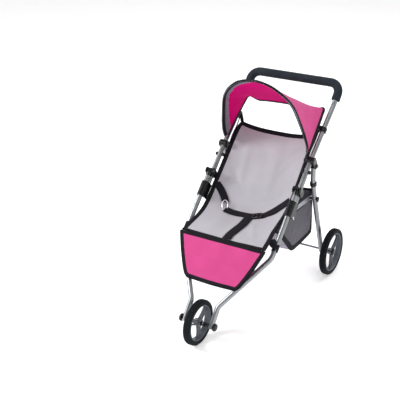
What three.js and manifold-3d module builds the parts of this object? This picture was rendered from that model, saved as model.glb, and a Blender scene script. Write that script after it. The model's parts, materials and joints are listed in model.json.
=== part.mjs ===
// Doll jogging stroller: a folding three-wheel tube frame with a fabric seat, basket and canopy.
// Millimetres. +Z up, front wheel toward -Y, symmetric in X, floor at Z = 0.
// "left" is the +X side and "right" is the -X side.
import * as THREE from 'three';
import { mergeVertices } from 'three/addons/utils/BufferGeometryUtils.js';
import Module from 'manifold-3d';

const wasm = await Module();
wasm.setup();

// ---------- driving dimensions ----------
const TUBE_R = 7.5;              // frame tube radius
const BORE_R = 7.8;              // bore that fits over a frame tube
const AXLE_R = 3;                // axle rods
const AXLE_BORE_R = 3.35;
const PIN_R = 2.5;               // pivot pins and rivets
const PIN_BORE_R = 2.85;
const TUBE_SIDES = 14;
const BORE_SIDES = 20;

const FRONT_AXLE = { y: -267, z: 65 };
const REAR_AXLE = { y: 252.4, z: 75 };
const FRONT_WHEEL_R = 65;
const REAR_WHEEL_R = 75;
const WHEEL_W = 22;
const WHEEL_SEGMENTS = 32;
const REAR_WHEEL_X = 170.6;
const TYRE_DEPTH = 13;

const FRAME_X = 144;             // plane of the front tubes and handle tube at the fold hinge
const FRAME_ANGLE = THREE.MathUtils.degToRad(43.4);
const HINGE = { y: 43, z: 366.2 };
const FOLD_S = 6;                // fold pivot, measured up the front tube from HINGE
const HANDLE_M = -16.5;          // handle tube axis behind the front tube axis

const FORK_X = 43;
const FORK_BEND = [FORK_X, -230.5, 107.5];
const KNEE = [144, -107, 224.3];
const HANDLE_LOW_S = -63;        // lower end of the handle tube
const CANOPY_S = 106.6;          // canopy pivot and leg block on the handle tube
const HANDLE_BEND = [146, 284, 553];
const GRIP_CORNER = [151, 319.7, 605.6];
const GRIP_R = 13;

const LEG_PIVOT = [148, 145, 408];
const LEG_POINTS = [[148, 145, 413], [148, 145, 370], [146, 155, 328], [134.6, 255.1, 68]];
const STRIP_RIVET = { y: 169.6, z: 290 };
const STRIP_FRONT = { y: 21, z: 300 };
const STRIP_REAR = { y: 187, z: 283 };
const STRIP_X = 128.5;

const CANOPY_LEAN = THREE.MathUtils.degToRad(107.5);
const SEAT_HALF = 119.5;
const CREASE = { y: 34, z: 281 };
const SEAT_TOP = { y: 200, z: 470 };
const SEAT_FRONT = { y: -126, z: 256 };

// ---------- colours ----------
const paint = (color, roughness, metalness) => new THREE.MeshStandardMaterial({ color, roughness, metalness });
const CHROME = paint(0xc9ccd0, 0.22, 0.95);
const STEEL = paint(0x8b9096, 0.4, 0.9);
const BLACK_PLASTIC = paint(0x15181b, 0.35, 0.0);
const FOAM = paint(0x2c3338, 0.95, 0.0);
const RUBBER = paint(0x17181a, 0.85, 0.0);
const GREY_PLASTIC = paint(0x9a9ea4, 0.5, 0.0);
const PINK = paint(0xe0709f, 0.85, 0.0);
const LILAC = paint(0xb4b1bc, 0.9, 0.0);
const DARK_GREY = paint(0x5e5a66, 0.9, 0.0);
const BINDING = paint(0x1e1c28, 0.9, 0.0);
const WHITE_METAL = paint(0xd8dadc, 0.3, 0.8);

// ---------- geometry helpers ----------
// A point beside the front tube: s up along it from HINGE, m forward of it, at the given x.
function onFrame(s, m, x) {
  const c = Math.cos(FRAME_ANGLE);
  const n = Math.sin(FRAME_ANGLE);
  return new THREE.Vector3(x, HINGE.y + s * c - m * n, HINGE.z + s * n + m * c);
}

function signedVolume(geometry) {
  const p = geometry.getAttribute('position');
  const index = geometry.index;
  const count = index ? index.count : p.count;
  const a = new THREE.Vector3();
  const b = new THREE.Vector3();
  const c = new THREE.Vector3();
  let volume = 0;
  for (let i = 0; i < count; i += 3) {
    a.fromBufferAttribute(p, index ? index.getX(i) : i);
    b.fromBufferAttribute(p, index ? index.getX(i + 1) : i + 1);
    c.fromBufferAttribute(p, index ? index.getX(i + 2) : i + 2);
    volume += a.dot(b.cross(c)) / 6;
  }
  return volume;
}

// Welds the vertices, drops triangles of no area and turns the faces outward.
function closed(geometry) {
  const bare = new THREE.BufferGeometry();
  bare.setAttribute('position', geometry.getAttribute('position').clone());
  if (geometry.index) bare.setIndex(geometry.index.clone());
  const welded = mergeVertices(bare, 1e-3);
  const old = welded.index.array;
  const flip = signedVolume(welded) < 0;
  const kept = [];
  for (let i = 0; i < old.length; i += 3) {
    const [a, b, c] = [old[i], old[i + 1], old[i + 2]];
    if (a === b || b === c || c === a) continue;
    if (flip) kept.push(a, c, b);
    else kept.push(a, b, c);
  }
  welded.setIndex(kept);
  return welded;
}

function toSolid(geometry) {
  const g = closed(geometry);
  const vertProperties = new Float32Array(g.getAttribute('position').array);
  const triVerts = new Uint32Array(g.index.array);
  return new wasm.Manifold(new wasm.Mesh({ numProp: 3, vertProperties, triVerts }));
}

function toGeometry(solid) {
  const mesh = solid.getMesh();
  const geometry = new THREE.BufferGeometry();
  const positions = new Float32Array(mesh.vertProperties);
  geometry.setAttribute('position', new THREE.BufferAttribute(positions, 3));
  geometry.setIndex(Array.from(mesh.triVerts));
  return geometry;
}

// Joins the first list and cuts the second list away.
function carve(joined, cut = []) {
  let solid = toSolid(joined[0]);
  for (const g of joined.slice(1)) solid = solid.add(toSolid(g));
  for (const g of cut) solid = solid.subtract(toSolid(g));
  return toGeometry(solid);
}

// A centre line through fixed stations. Each station gets one section, square to the line.
class Centreline extends THREE.Curve {
  constructor(stations) {
    super();
    this.stations = stations;
  }

  getPoint(t) {
    const last = this.stations.length - 1;
    const at = THREE.MathUtils.clamp(t, 0, 1) * last;
    const i = Math.min(Math.floor(at + 1e-9), last - 1);
    return this.stations[i].clone().lerp(this.stations[i + 1], at - i);
  }

  getPointAt(u) {
    return this.getPoint(u);
  }

  getTangentAt(u) {
    const last = this.stations.length - 1;
    const i = Math.round(u * last);
    const tangent = new THREE.Vector3();
    if (i > 0) tangent.add(this.stations[i].clone().sub(this.stations[i - 1]).normalize());
    if (i < last) tangent.add(this.stations[i + 1].clone().sub(this.stations[i]).normalize());
    return tangent.normalize();
  }
}

// Rounds each inner corner of a point list with an arc of its own radius.
function rounded(points, radii, arcSteps = 5) {
  const list = points.map((p) => (p.isVector3 ? p.clone() : new THREE.Vector3(...p)));
  const stations = [list[0]];
  for (let i = 1; i < list.length - 1; i += 1) {
    const back = list[i - 1].clone().sub(list[i]).normalize();
    const on = list[i + 1].clone().sub(list[i]).normalize();
    const turn = Math.PI - back.angleTo(on);
    const reach = radii[i - 1] * Math.tan(turn / 2);
    const start = list[i].clone().addScaledVector(back, reach);
    const end = list[i].clone().addScaledVector(on, reach);
    const toCentre = back.clone().add(on).normalize();
    const centre = list[i].clone().addScaledVector(toCentre, radii[i - 1] / Math.cos(turn / 2));
    const a = start.clone().sub(centre);
    const b = end.clone().sub(centre);
    for (let k = 0; k <= arcSteps; k += 1) {
      const f = k / arcSteps;
      const wa = Math.sin((1 - f) * turn) / Math.sin(turn);
      const wb = Math.sin(f * turn) / Math.sin(turn);
      stations.push(centre.clone().addScaledVector(a, wa).addScaledVector(b, wb));
    }
  }
  stations.push(list[list.length - 1]);
  return stations;
}

function disc(radius, sides) {
  const points = [];
  for (let i = 0; i < sides; i += 1) {
    const a = (i / sides) * Math.PI * 2;
    points.push(new THREE.Vector2(radius * Math.cos(a), radius * Math.sin(a)));
  }
  return points;
}

// A round tube or ring swept along stations.
function sweep(stations, radius, sides = TUBE_SIDES, innerRadius = 0) {
  const shape = new THREE.Shape(disc(radius, sides));
  if (innerRadius > 0) shape.holes.push(new THREE.Path(disc(innerRadius, sides).reverse()));
  const extrudePath = new Centreline(stations);
  const steps = stations.length - 1;
  return new THREE.ExtrudeGeometry(shape, { steps, extrudePath, bevelEnabled: false });
}

// An outline in the Y-Z plane, extruded along X between two planes.
function prismX(outline, x0, x1) {
  const shape = new THREE.Shape(outline.map(([y, z]) => new THREE.Vector2(y, z)));
  const depth = Math.abs(x1 - x0);
  const geometry = new THREE.ExtrudeGeometry(shape, { depth, bevelEnabled: false, steps: 1 });
  const axes = new THREE.Matrix4().makeBasis(
    new THREE.Vector3(0, 1, 0),
    new THREE.Vector3(0, 0, 1),
    new THREE.Vector3(1, 0, 0),
  );
  geometry.applyMatrix4(axes);
  geometry.translate(Math.min(x0, x1), 0, 0);
  return geometry;
}

// The outline around two circles [y, z, r].
function capsule(c1, c2, steps = 8) {
  const away = Math.atan2(c2[1] - c1[1], c2[0] - c1[0]);
  const span = Math.hypot(c2[0] - c1[0], c2[1] - c1[1]);
  const flare = Math.acos((c1[2] - c2[2]) / span);
  const outline = [];
  for (let i = 0; i <= steps; i += 1) {
    const a = away + flare + (i / steps) * (2 * Math.PI - 2 * flare);
    outline.push([c1[0] + c1[2] * Math.cos(a), c1[1] + c1[2] * Math.sin(a)]);
  }
  for (let i = 0; i <= steps; i += 1) {
    const a = away - flare + (i / steps) * 2 * flare;
    outline.push([c2[0] + c2[2] * Math.cos(a), c2[1] + c2[2] * Math.sin(a)]);
  }
  return outline;
}

// A solid of revolution about the X axis from a profile of [radius, x].
function turned(profile, segments = 24, y = 0, z = 0) {
  const points = profile.map(([r, x]) => new THREE.Vector2(r, x));
  points.push(points[0].clone());
  const geometry = new THREE.LatheGeometry(points, segments, Math.PI / segments);
  geometry.rotateZ(-Math.PI / 2);
  geometry.translate(0, y, z);
  return geometry;
}

function rodX(radius, x0, x1, y, z, sides = 24) {
  return turned([[0, x0], [radius, x0], [radius, x1], [0, x1]], sides, y, z);
}

// A thin slab that follows a line in the Y-Z plane.
function ribbon(points, thickness, x0, x1) {
  const upper = [];
  const lower = [];
  points.forEach(([y, z], i) => {
    const a = points[Math.max(i - 1, 0)];
    const b = points[Math.min(i + 1, points.length - 1)];
    const length = Math.hypot(b[0] - a[0], b[1] - a[1]);
    const ny = (-(b[1] - a[1]) / length) * (thickness / 2);
    const nz = ((b[0] - a[0]) / length) * (thickness / 2);
    upper.push([y + ny, z + nz]);
    lower.push([y - ny, z - nz]);
  });
  return prismX([...lower, ...upper.reverse()], x0, x1);
}

const stroller = new THREE.Group();

function add(name, geometry, material, parent = stroller) {
  const mesh = new THREE.Mesh(closed(geometry), material);
  mesh.name = name;
  parent.add(mesh);
  return mesh;
}

const SIDES = [['left', 1], ['right', -1]];
const fold = onFrame(FOLD_S, 0, FRAME_X);
const canopyPivot = onFrame(CANOPY_S, HANDLE_M, FRAME_X);
const seatBolt = onFrame(70, HANDLE_M, FRAME_X);
const flipX = (v, sign) => new THREE.Vector3(v.x * sign, v.y, v.z);

// ---------- handle frame ----------
const handleHalf = [
  onFrame(HANDLE_LOW_S, HANDLE_M, FRAME_X),
  canopyPivot,
  new THREE.Vector3(...HANDLE_BEND),
  new THREE.Vector3(...GRIP_CORNER),
];
const handleLine = rounded(
  [...handleHalf, ...handleHalf.slice().reverse().map((p) => flipX(p, -1))],
  [60, 60, 30, 30, 60, 60],
);
const boltHoles = SIDES.map(([, sign]) => rodX(2.3, sign * 130, sign * 158, seatBolt.y, seatBolt.z));
add('handle_tube', carve([sweep(handleLine, TUBE_R)], boltHoles), CHROME);

// Foam covers the cross bar and runs down both sides to just above the bend.
const bend = new THREE.Vector3(...HANDLE_BEND);
const corner = new THREE.Vector3(...GRIP_CORNER);
const foamEnd = bend.clone().lerp(corner, 0.17);
const foamLine = rounded([foamEnd, corner, flipX(corner, -1), flipX(foamEnd, -1)], [30, 30]);
add('foam_grip', sweep(foamLine, GRIP_R, TUBE_SIDES, BORE_R + 0.1), FOAM);

for (const [side, sign] of SIDES) {
  const handleBore = sweep(handleLine, BORE_R, BORE_SIDES);
  const x = (value) => value * sign;

  // Block that carries the rear leg below the tube and the canopy pivot inboard of it.
  const blockOutline = capsule([canopyPivot.y, canopyPivot.z, 13], [LEG_PIVOT[1], LEG_PIVOT[2], 10]);
  const belowTube = [
    onFrame(60, HANDLE_M - 12.5, 0),
    onFrame(150, HANDLE_M - 12.5, 0),
    onFrame(150, HANDLE_M - 60, 0),
    onFrame(60, HANDLE_M - 60, 0),
  ].map((p) => [p.y, p.z]);
  const block = carve([prismX(blockOutline, x(133), x(159.5))], [
    handleBore,
    prismX(belowTube, x(140.1), x(155.9)),
    rodX(PIN_BORE_R, x(130), x(163), LEG_PIVOT[1], LEG_PIVOT[2]),
    rodX(3.4, x(132), x(135.6), canopyPivot.y, canopyPivot.z),
  ]);
  add(`leg_block_${side}`, block, BLACK_PLASTIC);

  const legPin = [
    [0, 130.6], [5, 130.6], [5, 132.7], [PIN_R, 132.7], [PIN_R, 159.8], [5.5, 159.8], [5.5, 162], [0, 162],
  ];
  const flipped = (profile) => profile.map(([r, px]) => [r, px * sign]);
  add(`leg_pivot_${side}`, turned(flipped(legPin), 12, LEG_PIVOT[1], LEG_PIVOT[2]), STEEL);

  // Clevis on the handle tube that holds the top of the front tube.
  const onHandle = onFrame(2, HANDLE_M, 0);
  const hingeOutline = capsule([onHandle.y, onHandle.z, 11], [fold.y, fold.z, 9.5]);
  const slot = [
    onFrame(-40, HANDLE_M + 4.5, 0),
    onFrame(40, HANDLE_M + 4.5, 0),
    onFrame(40, 40, 0),
    onFrame(-40, 40, 0),
  ].map((p) => [p.y, p.z]);
  const clevis = carve([prismX(hingeOutline, x(132), x(156))], [
    handleBore,
    prismX(slot, x(134.9), x(153.1)),
    rodX(PIN_BORE_R, x(130), x(160), fold.y, fold.z),
  ]);
  add(`hinge_block_${side}`, clevis, BLACK_PLASTIC);

  const foldPin = [
    [0, 130.7], [5, 130.7], [5, 131.7], [PIN_R, 131.7], [PIN_R, 156.3], [6, 156.3], [5, 159], [0, 159.4],
  ];
  add(`fold_pin_${side}`, turned(flipped(foldPin), 12, fold.y, fold.z), STEEL);

  // Bolt through the handle tube with a round black head at each end.
  const boltProfile = [
    [0, 129.6], [5.5, 130], [5.5, 135.4], [2, 135.9], [2, 152], [5.5, 152.5], [5.5, 157.6], [0, 158.4],
  ];
  add(`seat_bolt_${side}`, turned(flipped(boltProfile), 12, seatBolt.y, seatBolt.z), BLACK_PLASTIC);

  // Clip round the handle tube; the strap of the seat's top corner hangs on its eye.
  const clipAt = flipX(canopyPivot.clone().lerp(bend, 0.53), sign);
  const along = bend.clone().sub(canopyPivot).normalize();
  along.x *= sign;
  const ringEnds = [-7, 7].map((d) => clipAt.clone().addScaledVector(along, d));
  const eye = prismX(capsule([clipAt.y, clipAt.z, 7], [clipAt.y, clipAt.z + 6, 7]), x(129), x(140));
  const clip = carve([sweep(ringEnds, 10.6, 20), eye], [
    sweep([-30, 30].map((d) => clipAt.clone().addScaledVector(along, d)), BORE_R, BORE_SIDES),
    prismX([[-4, -3], [4, -3], [4, 3], [-4, 3]].map(([a, b]) => [clipAt.y + a, clipAt.z + 3 + b]),
      x(128), x(133.4)),
  ]);
  add(`seat_clip_${side}`, clip, BLACK_PLASTIC);
}

const seatBackLine = [
  [CREASE.y + 3, CREASE.z + 3],
  [70, 325],
  [115, 377],
  [160, 427],
  [SEAT_TOP.y, SEAT_TOP.z],
];
add('seat_back', ribbon(seatBackLine, 6, -SEAT_HALF, SEAT_HALF), LILAC);

// ---------- canopy ----------
// A point in the hoop's plane: h up along it from the pivot line, d behind it.
function onHoop(h, x, d = 0) {
  const c = Math.cos(CANOPY_LEAN);
  const n = Math.sin(CANOPY_LEAN);
  return new THREE.Vector3(x, canopyPivot.y + h * c + d * n, canopyPivot.z + h * n - d * c);
}

const HOOP_OUTLINE = [
  [129.5, -3], [129.5, 11], [132, 19], [136, 29], [138, 42], [137, 60], [134, 80], [129.5, 105],
  [123.5, 132], [117.5, 158], [110, 179], [97, 200], [78, 219], [57, 234], [30, 245], [0, 249],
];
const hoopHalf = HOOP_OUTLINE.map(([x, h]) => onHoop(h, x));
const hoopLine = [...hoopHalf, ...hoopHalf.slice(0, -1).reverse().map((p) => flipX(p, -1))];
add('canopy_hoop', sweep(hoopLine, 2, 8), STEEL);

for (const [side, sign] of SIDES) {
  const profile = [
    [0, 124.5], [6.5, 125], [7.5, 126], [7.5, 132.7], [3, 132.7], [3, 135.2], [0, 135.2],
  ].map(([r, px]) => [r, px * sign]);
  const boss = turned(profile, 16, canopyPivot.y, canopyPivot.z);
  const wireHole = sweep([onHoop(-3.4, 129.5 * sign), onHoop(14, 129.5 * sign)], 2.35, 16);
  add(`canopy_boss_${side}`, carve([boss], [wireHole]), BLACK_PLASTIC);
}

// Fabric shell from the hoop back to the corners above the handle tube.
const COVER_FRONT = [
  [136, 32], [138, 50], [136, 70], [132, 92], [127, 115], [121, 140], [115, 165], [106, 186],
  [87, 211], [57, 234], [30, 245], [0, 249],
];
const COVER_REAR = [
  [134, 143, 452], [134, 155, 463], [133.5, 170, 476], [133, 186, 490], [132.5, 203, 504],
  [131.5, 222, 519], [130, 241, 533], [124, 259, 547], [95, 263, 552], [62, 263, 554],
  [30, 263, 555.5], [0, 262, 556],
];
const COVER_COLUMNS = 5;
const COVER_THICKNESS = 2.5;

function coverGeometry() {
  const rows = [];
  const half = COVER_FRONT.length;
  for (let i = 0; i < 2 * half - 1; i += 1) {
    const k = i < half ? i : 2 * half - 2 - i;
    const sign = i < half ? 1 : -1;
    const front = onHoop(COVER_FRONT[k][1], COVER_FRONT[k][0] * sign, 3);
    const rear = new THREE.Vector3(COVER_REAR[k][0] * sign, COVER_REAR[k][1], COVER_REAR[k][2]);
    const row = [];
    for (let j = 0; j <= COVER_COLUMNS; j += 1) row.push(front.clone().lerp(rear, j / COVER_COLUMNS));
    rows.push(row);
  }
  const inside = new THREE.Vector3(0, 175, 490);
  const at = (i, j) => rows[Math.min(Math.max(i, 0), rows.length - 1)][Math.min(Math.max(j, 0), COVER_COLUMNS)];
  const outer = [];
  const inner = [];
  for (let i = 0; i < rows.length; i += 1) {
    for (let j = 0; j <= COVER_COLUMNS; j += 1) {
      const across = at(i + 1, j).clone().sub(at(i - 1, j));
      const back = at(i, j + 1).clone().sub(at(i, j - 1));
      const normal = across.cross(back).normalize();
      if (normal.dot(rows[i][j].clone().sub(inside)) < 0) normal.negate();
      outer.push(rows[i][j]);
      inner.push(rows[i][j].clone().addScaledVector(normal, -COVER_THICKNESS));
    }
  }
  const positions = [...outer, ...inner].flatMap((p) => [p.x, p.y, p.z]);
  const index = [];
  const wide = COVER_COLUMNS + 1;
  const skip = outer.length;
  const quad = (a, b, c, d) => index.push(a, b, c, a, c, d);
  for (let i = 0; i < rows.length - 1; i += 1) {
    for (let j = 0; j < COVER_COLUMNS; j += 1) {
      const a = i * wide + j;
      quad(a, a + wide, a + wide + 1, a + 1);
      quad(skip + a + 1, skip + a + wide + 1, skip + a + wide, skip + a);
    }
    const f = i * wide;
    const r = i * wide + COVER_COLUMNS;
    quad(f + skip, f + skip + wide, f + wide, f);
    quad(r, r + wide, r + skip + wide, r + skip);
  }
  for (let j = 0; j < COVER_COLUMNS; j += 1) {
    const last = (rows.length - 1) * wide + j;
    quad(j, j + 1, j + 1 + skip, j + skip);
    quad(last + skip, last + 1 + skip, last + 1, last);
  }
  const geometry = new THREE.BufferGeometry();
  geometry.setAttribute('position', new THREE.Float32BufferAttribute(positions, 3));
  geometry.setIndex(index);
  return geometry;
}
add('canopy_cover', coverGeometry(), PINK);

// ---------- front frame ----------
const forkEnd = new THREE.Vector3(...FORK_BEND);
const axlePoint = new THREE.Vector3(FORK_X, FRONT_AXLE.y, FRONT_AXLE.z);
const forkTip = axlePoint.clone().addScaledVector(axlePoint.clone().sub(forkEnd).normalize(), 8);

for (const [side, sign] of SIDES) {
  const x = (value) => value * sign;
  const top = onFrame(FOLD_S - 4, 0, x(FRAME_X));
  const line = rounded([flipX(forkTip, sign), flipX(forkEnd, sign), [x(KNEE[0]), KNEE[1], KNEE[2]], top], [25, 45]);
  const axleHole = rodX(AXLE_BORE_R, x(30), x(56), FRONT_AXLE.y, FRONT_AXLE.z);
  add(`front_tube_${side}`, carve([sweep(line, TUBE_R)], [axleHole]), CHROME);

  // Round-ended plug over the top of the front tube, turning on the fold pin.
  const capR = 8.6;
  const plugProfile = [[0, 8.6], [4.3, 7.45], [7.45, 4.3], [capR, 0], [capR, -18], [0, -18]];
  const plug = new THREE.LatheGeometry(plugProfile.map(([r, h]) => new THREE.Vector2(r, h)), 24);
  plug.rotateX(FRAME_ANGLE);
  plug.translate(x(FRAME_X), fold.y, fold.z);
  const tubeBore = sweep([onFrame(FOLD_S - 30, 0, x(FRAME_X)), onFrame(FOLD_S - 3.6, 0, x(FRAME_X))], BORE_R, 24);
  const pinBore = rodX(PIN_BORE_R, x(130), x(160), fold.y, fold.z);
  add(`front_cap_${side}`, carve([plug], [tubeBore, pinBore]), BLACK_PLASTIC);

  const spacer = [[AXLE_BORE_R, x(9.7)], [6, x(9.7)], [6, x(35)], [AXLE_BORE_R, x(35)]];
  add(`fork_spacer_${side}`, turned(spacer, 24, FRONT_AXLE.y, FRONT_AXLE.z), BLACK_PLASTIC);
  const axleCap = [
    [0, x(59)], [8, x(59)], [11, x(56.6)], [11, x(50.9)], [AXLE_BORE_R, x(50.9)], [AXLE_BORE_R, x(56.4)], [0, x(56.4)],
  ];
  add(`fork_cap_${side}`, turned(axleCap, 24, FRONT_AXLE.y, FRONT_AXLE.z), BLACK_PLASTIC);
}
add('front_axle', rodX(AXLE_R, -56, 56, FRONT_AXLE.y, FRONT_AXLE.z), STEEL);
add('front_strut', rodX(3, -106.7, 106.7, -139, 192.2, 12), BLACK_PLASTIC);

const seatBaseLine = [[CREASE.y - 5, CREASE.z - 3], [SEAT_FRONT.y, SEAT_FRONT.z]];
add('seat_base', ribbon(seatBaseLine, 6, -SEAT_HALF, SEAT_HALF), LILAC);

// Leg panel: a tapering sheet from the seat's front edge down between the fork tubes.
const PANEL = { topHalf: 131, bottomHalf: 78, thickness: 3.5, top: [-134, 254], bottom: [-197, 154] };
function panelGeometry() {
  const { topHalf, bottomHalf, thickness, top, bottom } = PANEL;
  const length = Math.hypot(bottom[0] - top[0], bottom[1] - top[1]);
  const outline = [
    [-topHalf, 0], [topHalf, 0], [119, -length * 0.42], [92, -length * 0.84], [bottomHalf, -length * 0.97],
    [bottomHalf - 14, -length], [14 - bottomHalf, -length], [-bottomHalf, -length * 0.97],
    [-92, -length * 0.84], [-119, -length * 0.42],
  ];
  const shape = new THREE.Shape(outline.map(([a, b]) => new THREE.Vector2(a, b)));
  const geometry = new THREE.ExtrudeGeometry(shape, { depth: thickness, bevelEnabled: false });
  const up = new THREE.Vector3(0, top[0] - bottom[0], top[1] - bottom[1]).normalize();
  const right = new THREE.Vector3(1, 0, 0);
  geometry.applyMatrix4(new THREE.Matrix4().makeBasis(right, up, right.clone().cross(up)));
  geometry.translate(0, top[0], top[1]);
  return geometry;
}
add('leg_panel', panelGeometry(), PINK);

// Lap belt, lying on the seat, with a ring at one side and a slide where the crotch strap meets it.
function onSeat(y, above) {
  const f = (y - SEAT_FRONT.y) / (CREASE.y - 5 - SEAT_FRONT.y);
  return [y, SEAT_FRONT.z + f * (CREASE.z - 3 - SEAT_FRONT.z) + 3 + above];
}
const beltLine = (y0, y1, above) => [onSeat(y0, above), onSeat(y1, above)];
add('lap_belt', ribbon(beltLine(-4, 12, 1.2), 1.4, -72, 98), BINDING);
add('crotch_strap', ribbon(beltLine(-118, -13, 1.2), 1.4, 8, 24), BINDING);
const slideFrame = carve(
  [ribbon(beltLine(-8.5, 16.5, 3.4), 2, 6, 36)],
  [ribbon(beltLine(-4.5, 12.5, 3.4), 6, 9, 19.5), ribbon(beltLine(-4.5, 12.5, 3.4), 6, 22.5, 33)],
);
add('belt_slide', slideFrame, BLACK_PLASTIC);
const ringLine = [];
for (let i = 0; i < 20; i += 1) {
  const a = (i / 20) * Math.PI * 2;
  const [y, z] = onSeat(9 + 13 * Math.sin(a), 2.2);
  ringLine.push(new THREE.Vector3(-88 + 9 * Math.cos(a), y, z));
}
const ringCurve = new THREE.CatmullRomCurve3(ringLine, true);
const ringShape = new THREE.Shape(disc(1.7, 8));
const ringGeometry = new THREE.ExtrudeGeometry(ringShape, { steps: 24, extrudePath: ringCurve, bevelEnabled: false });
add('belt_ring', ringGeometry, WHITE_METAL);

// ---------- lock sleeves ----------
// A channel that wraps the front tube, stays open behind, and cups the lower end of the handle tube.
function sleeveOutline() {
  const r = 7.95;
  const lip = 3;
  const lipAngle = Math.asin(lip / r);
  const points = [];
  for (let i = 0; i <= 12; i += 1) {
    const a = (i / 12) * Math.PI;
    points.push([11 * Math.cos(a), 11 * Math.sin(a)]);
  }
  points.push([-11, -22.5], [-10, -24.5], [-r, -24.5]);
  for (let i = 0; i <= 6; i += 1) {
    const a = -Math.PI / 2 + (i / 6) * (Math.PI / 2 - lipAngle);
    points.push([r * Math.sin(a), HANDLE_M + r * Math.cos(a)]);
  }
  for (let i = 0; i <= 18; i += 1) {
    const a = Math.PI + lipAngle + (i / 18) * (2 * Math.PI - 2 * lipAngle);
    points.push([r * Math.sin(a), r * Math.cos(a)]);
  }
  for (let i = 0; i <= 6; i += 1) {
    const a = lipAngle + (i / 6) * (Math.PI / 2 - lipAngle);
    points.push([r * Math.sin(a), HANDLE_M + r * Math.cos(a)]);
  }
  points.push([r, -24.5], [10, -24.5], [11, -22.5]);
  return points;
}
for (const [side, sign] of SIDES) {
  const shape = new THREE.Shape(sleeveOutline().map(([a, b]) => new THREE.Vector2(a, b)));
  const geometry = new THREE.ExtrudeGeometry(shape, { depth: 47, bevelEnabled: false });
  const right = new THREE.Vector3(1, 0, 0);
  const forward = new THREE.Vector3(0, -Math.sin(FRAME_ANGLE), Math.cos(FRAME_ANGLE));
  geometry.applyMatrix4(new THREE.Matrix4().makeBasis(right, forward, right.clone().cross(forward)));
  const top = onFrame(-31, 0, FRAME_X * sign);
  geometry.translate(top.x, top.y, top.z);
  add(`lock_sleeve_${side}`, geometry, BLACK_PLASTIC);
}

// ---------- rear legs ----------
for (const [side, sign] of SIDES) {
  const x = (value) => value * sign;
  const points = LEG_POINTS.map((p) => new THREE.Vector3(x(p[0]), p[1], p[2]));
  const leg = carve([sweep(rounded(points, [60, 60], 4), TUBE_R)], [
    rodX(PIN_BORE_R, x(130), x(170), LEG_PIVOT[1], LEG_PIVOT[2]),
    rodX(PIN_BORE_R, x(125), x(170), STRIP_RIVET.y, STRIP_RIVET.z),
    rodX(AXLE_BORE_R, x(120), x(150), REAR_AXLE.y, REAR_AXLE.z),
  ]);
  add(`rear_leg_${side}`, leg, CHROME);

  const collarEnds = [0.38, 0.66].map((f) => points[1].clone().lerp(points[2], f));
  add(`leg_collar_${side}`, sweep(collarEnds, 10.4, 20, BORE_R + 0.1), BLACK_PLASTIC);

  const rivet = [
    [0, 124.2], [4, 124.4], [4, 126.7], [PIN_R, 126.7], [PIN_R, 130.3], [4, 130.3], [4, 135.9], [PIN_R, 135.9],
    [PIN_R, 152.7], [9, 152.7], [9, 156], [6.5, 157.6], [0, 158],
  ];
  const flipped = (profile) => profile.map(([r, px]) => [r, x(px)]);
  add(`strip_rivet_${side}`, turned(flipped(rivet), 14, STRIP_RIVET.y, STRIP_RIVET.z), BLACK_PLASTIC);

  const spacer = [[AXLE_BORE_R, 143.2], [7, 143.2], [7, 160.7], [AXLE_BORE_R, 160.7]];
  add(`rear_spacer_${side}`, turned(flipped(spacer), 24, REAR_AXLE.y, REAR_AXLE.z), BLACK_PLASTIC);
  const hubCap = [
    [0, 181.5], [8, 181.3], [11, 178.5], [11, 174], [AXLE_BORE_R, 174], [AXLE_BORE_R, 179.3], [0, 179.3],
  ];
  add(`rear_cap_${side}`, turned(flipped(hubCap), 24, REAR_AXLE.y, REAR_AXLE.z), BLACK_PLASTIC);

  // Flat strip that carries the basket, riveted to the leg.
  const front = [STRIP_FRONT.y, STRIP_FRONT.z, 6];
  const mid = [STRIP_RIVET.y, STRIP_RIVET.z, 6.5];
  const rear = [STRIP_REAR.y, STRIP_REAR.z, 6];
  const strip = carve(
    [prismX(capsule(front, mid), x(STRIP_X - 1.5), x(STRIP_X + 1.5)),
      prismX(capsule(mid, rear), x(STRIP_X - 1.5), x(STRIP_X + 1.5))],
    [rodX(PIN_BORE_R, x(120), x(135), STRIP_RIVET.y, STRIP_RIVET.z)],
  );
  add(`basket_strip_${side}`, strip, WHITE_METAL);
}
add('rear_axle', rodX(AXLE_R, -179, 179, REAR_AXLE.y, REAR_AXLE.z), STEEL);

// ---------- basket ----------
const BASKET_OUTER = [
  [-20, 254], [-4, 234], [30, 193], [54, 165], [81, 157], [150, 157], [198, 158], [198, 308],
  [186, 308], [168, 282], [14, 282], [-10, 260],
];
const BASKET_INNER = [
  [-16, 270], [-2, 238], [32, 196], [56, 168], [82, 160], [150, 160], [195, 161], [195, 330],
  [120, 330], [0, 330],
];
const basket = carve([prismX(BASKET_OUTER, -123.3, 123.3)], [prismX(BASKET_INNER, -120.8, 120.8)]);
add('basket', basket, DARK_GREY);

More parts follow.
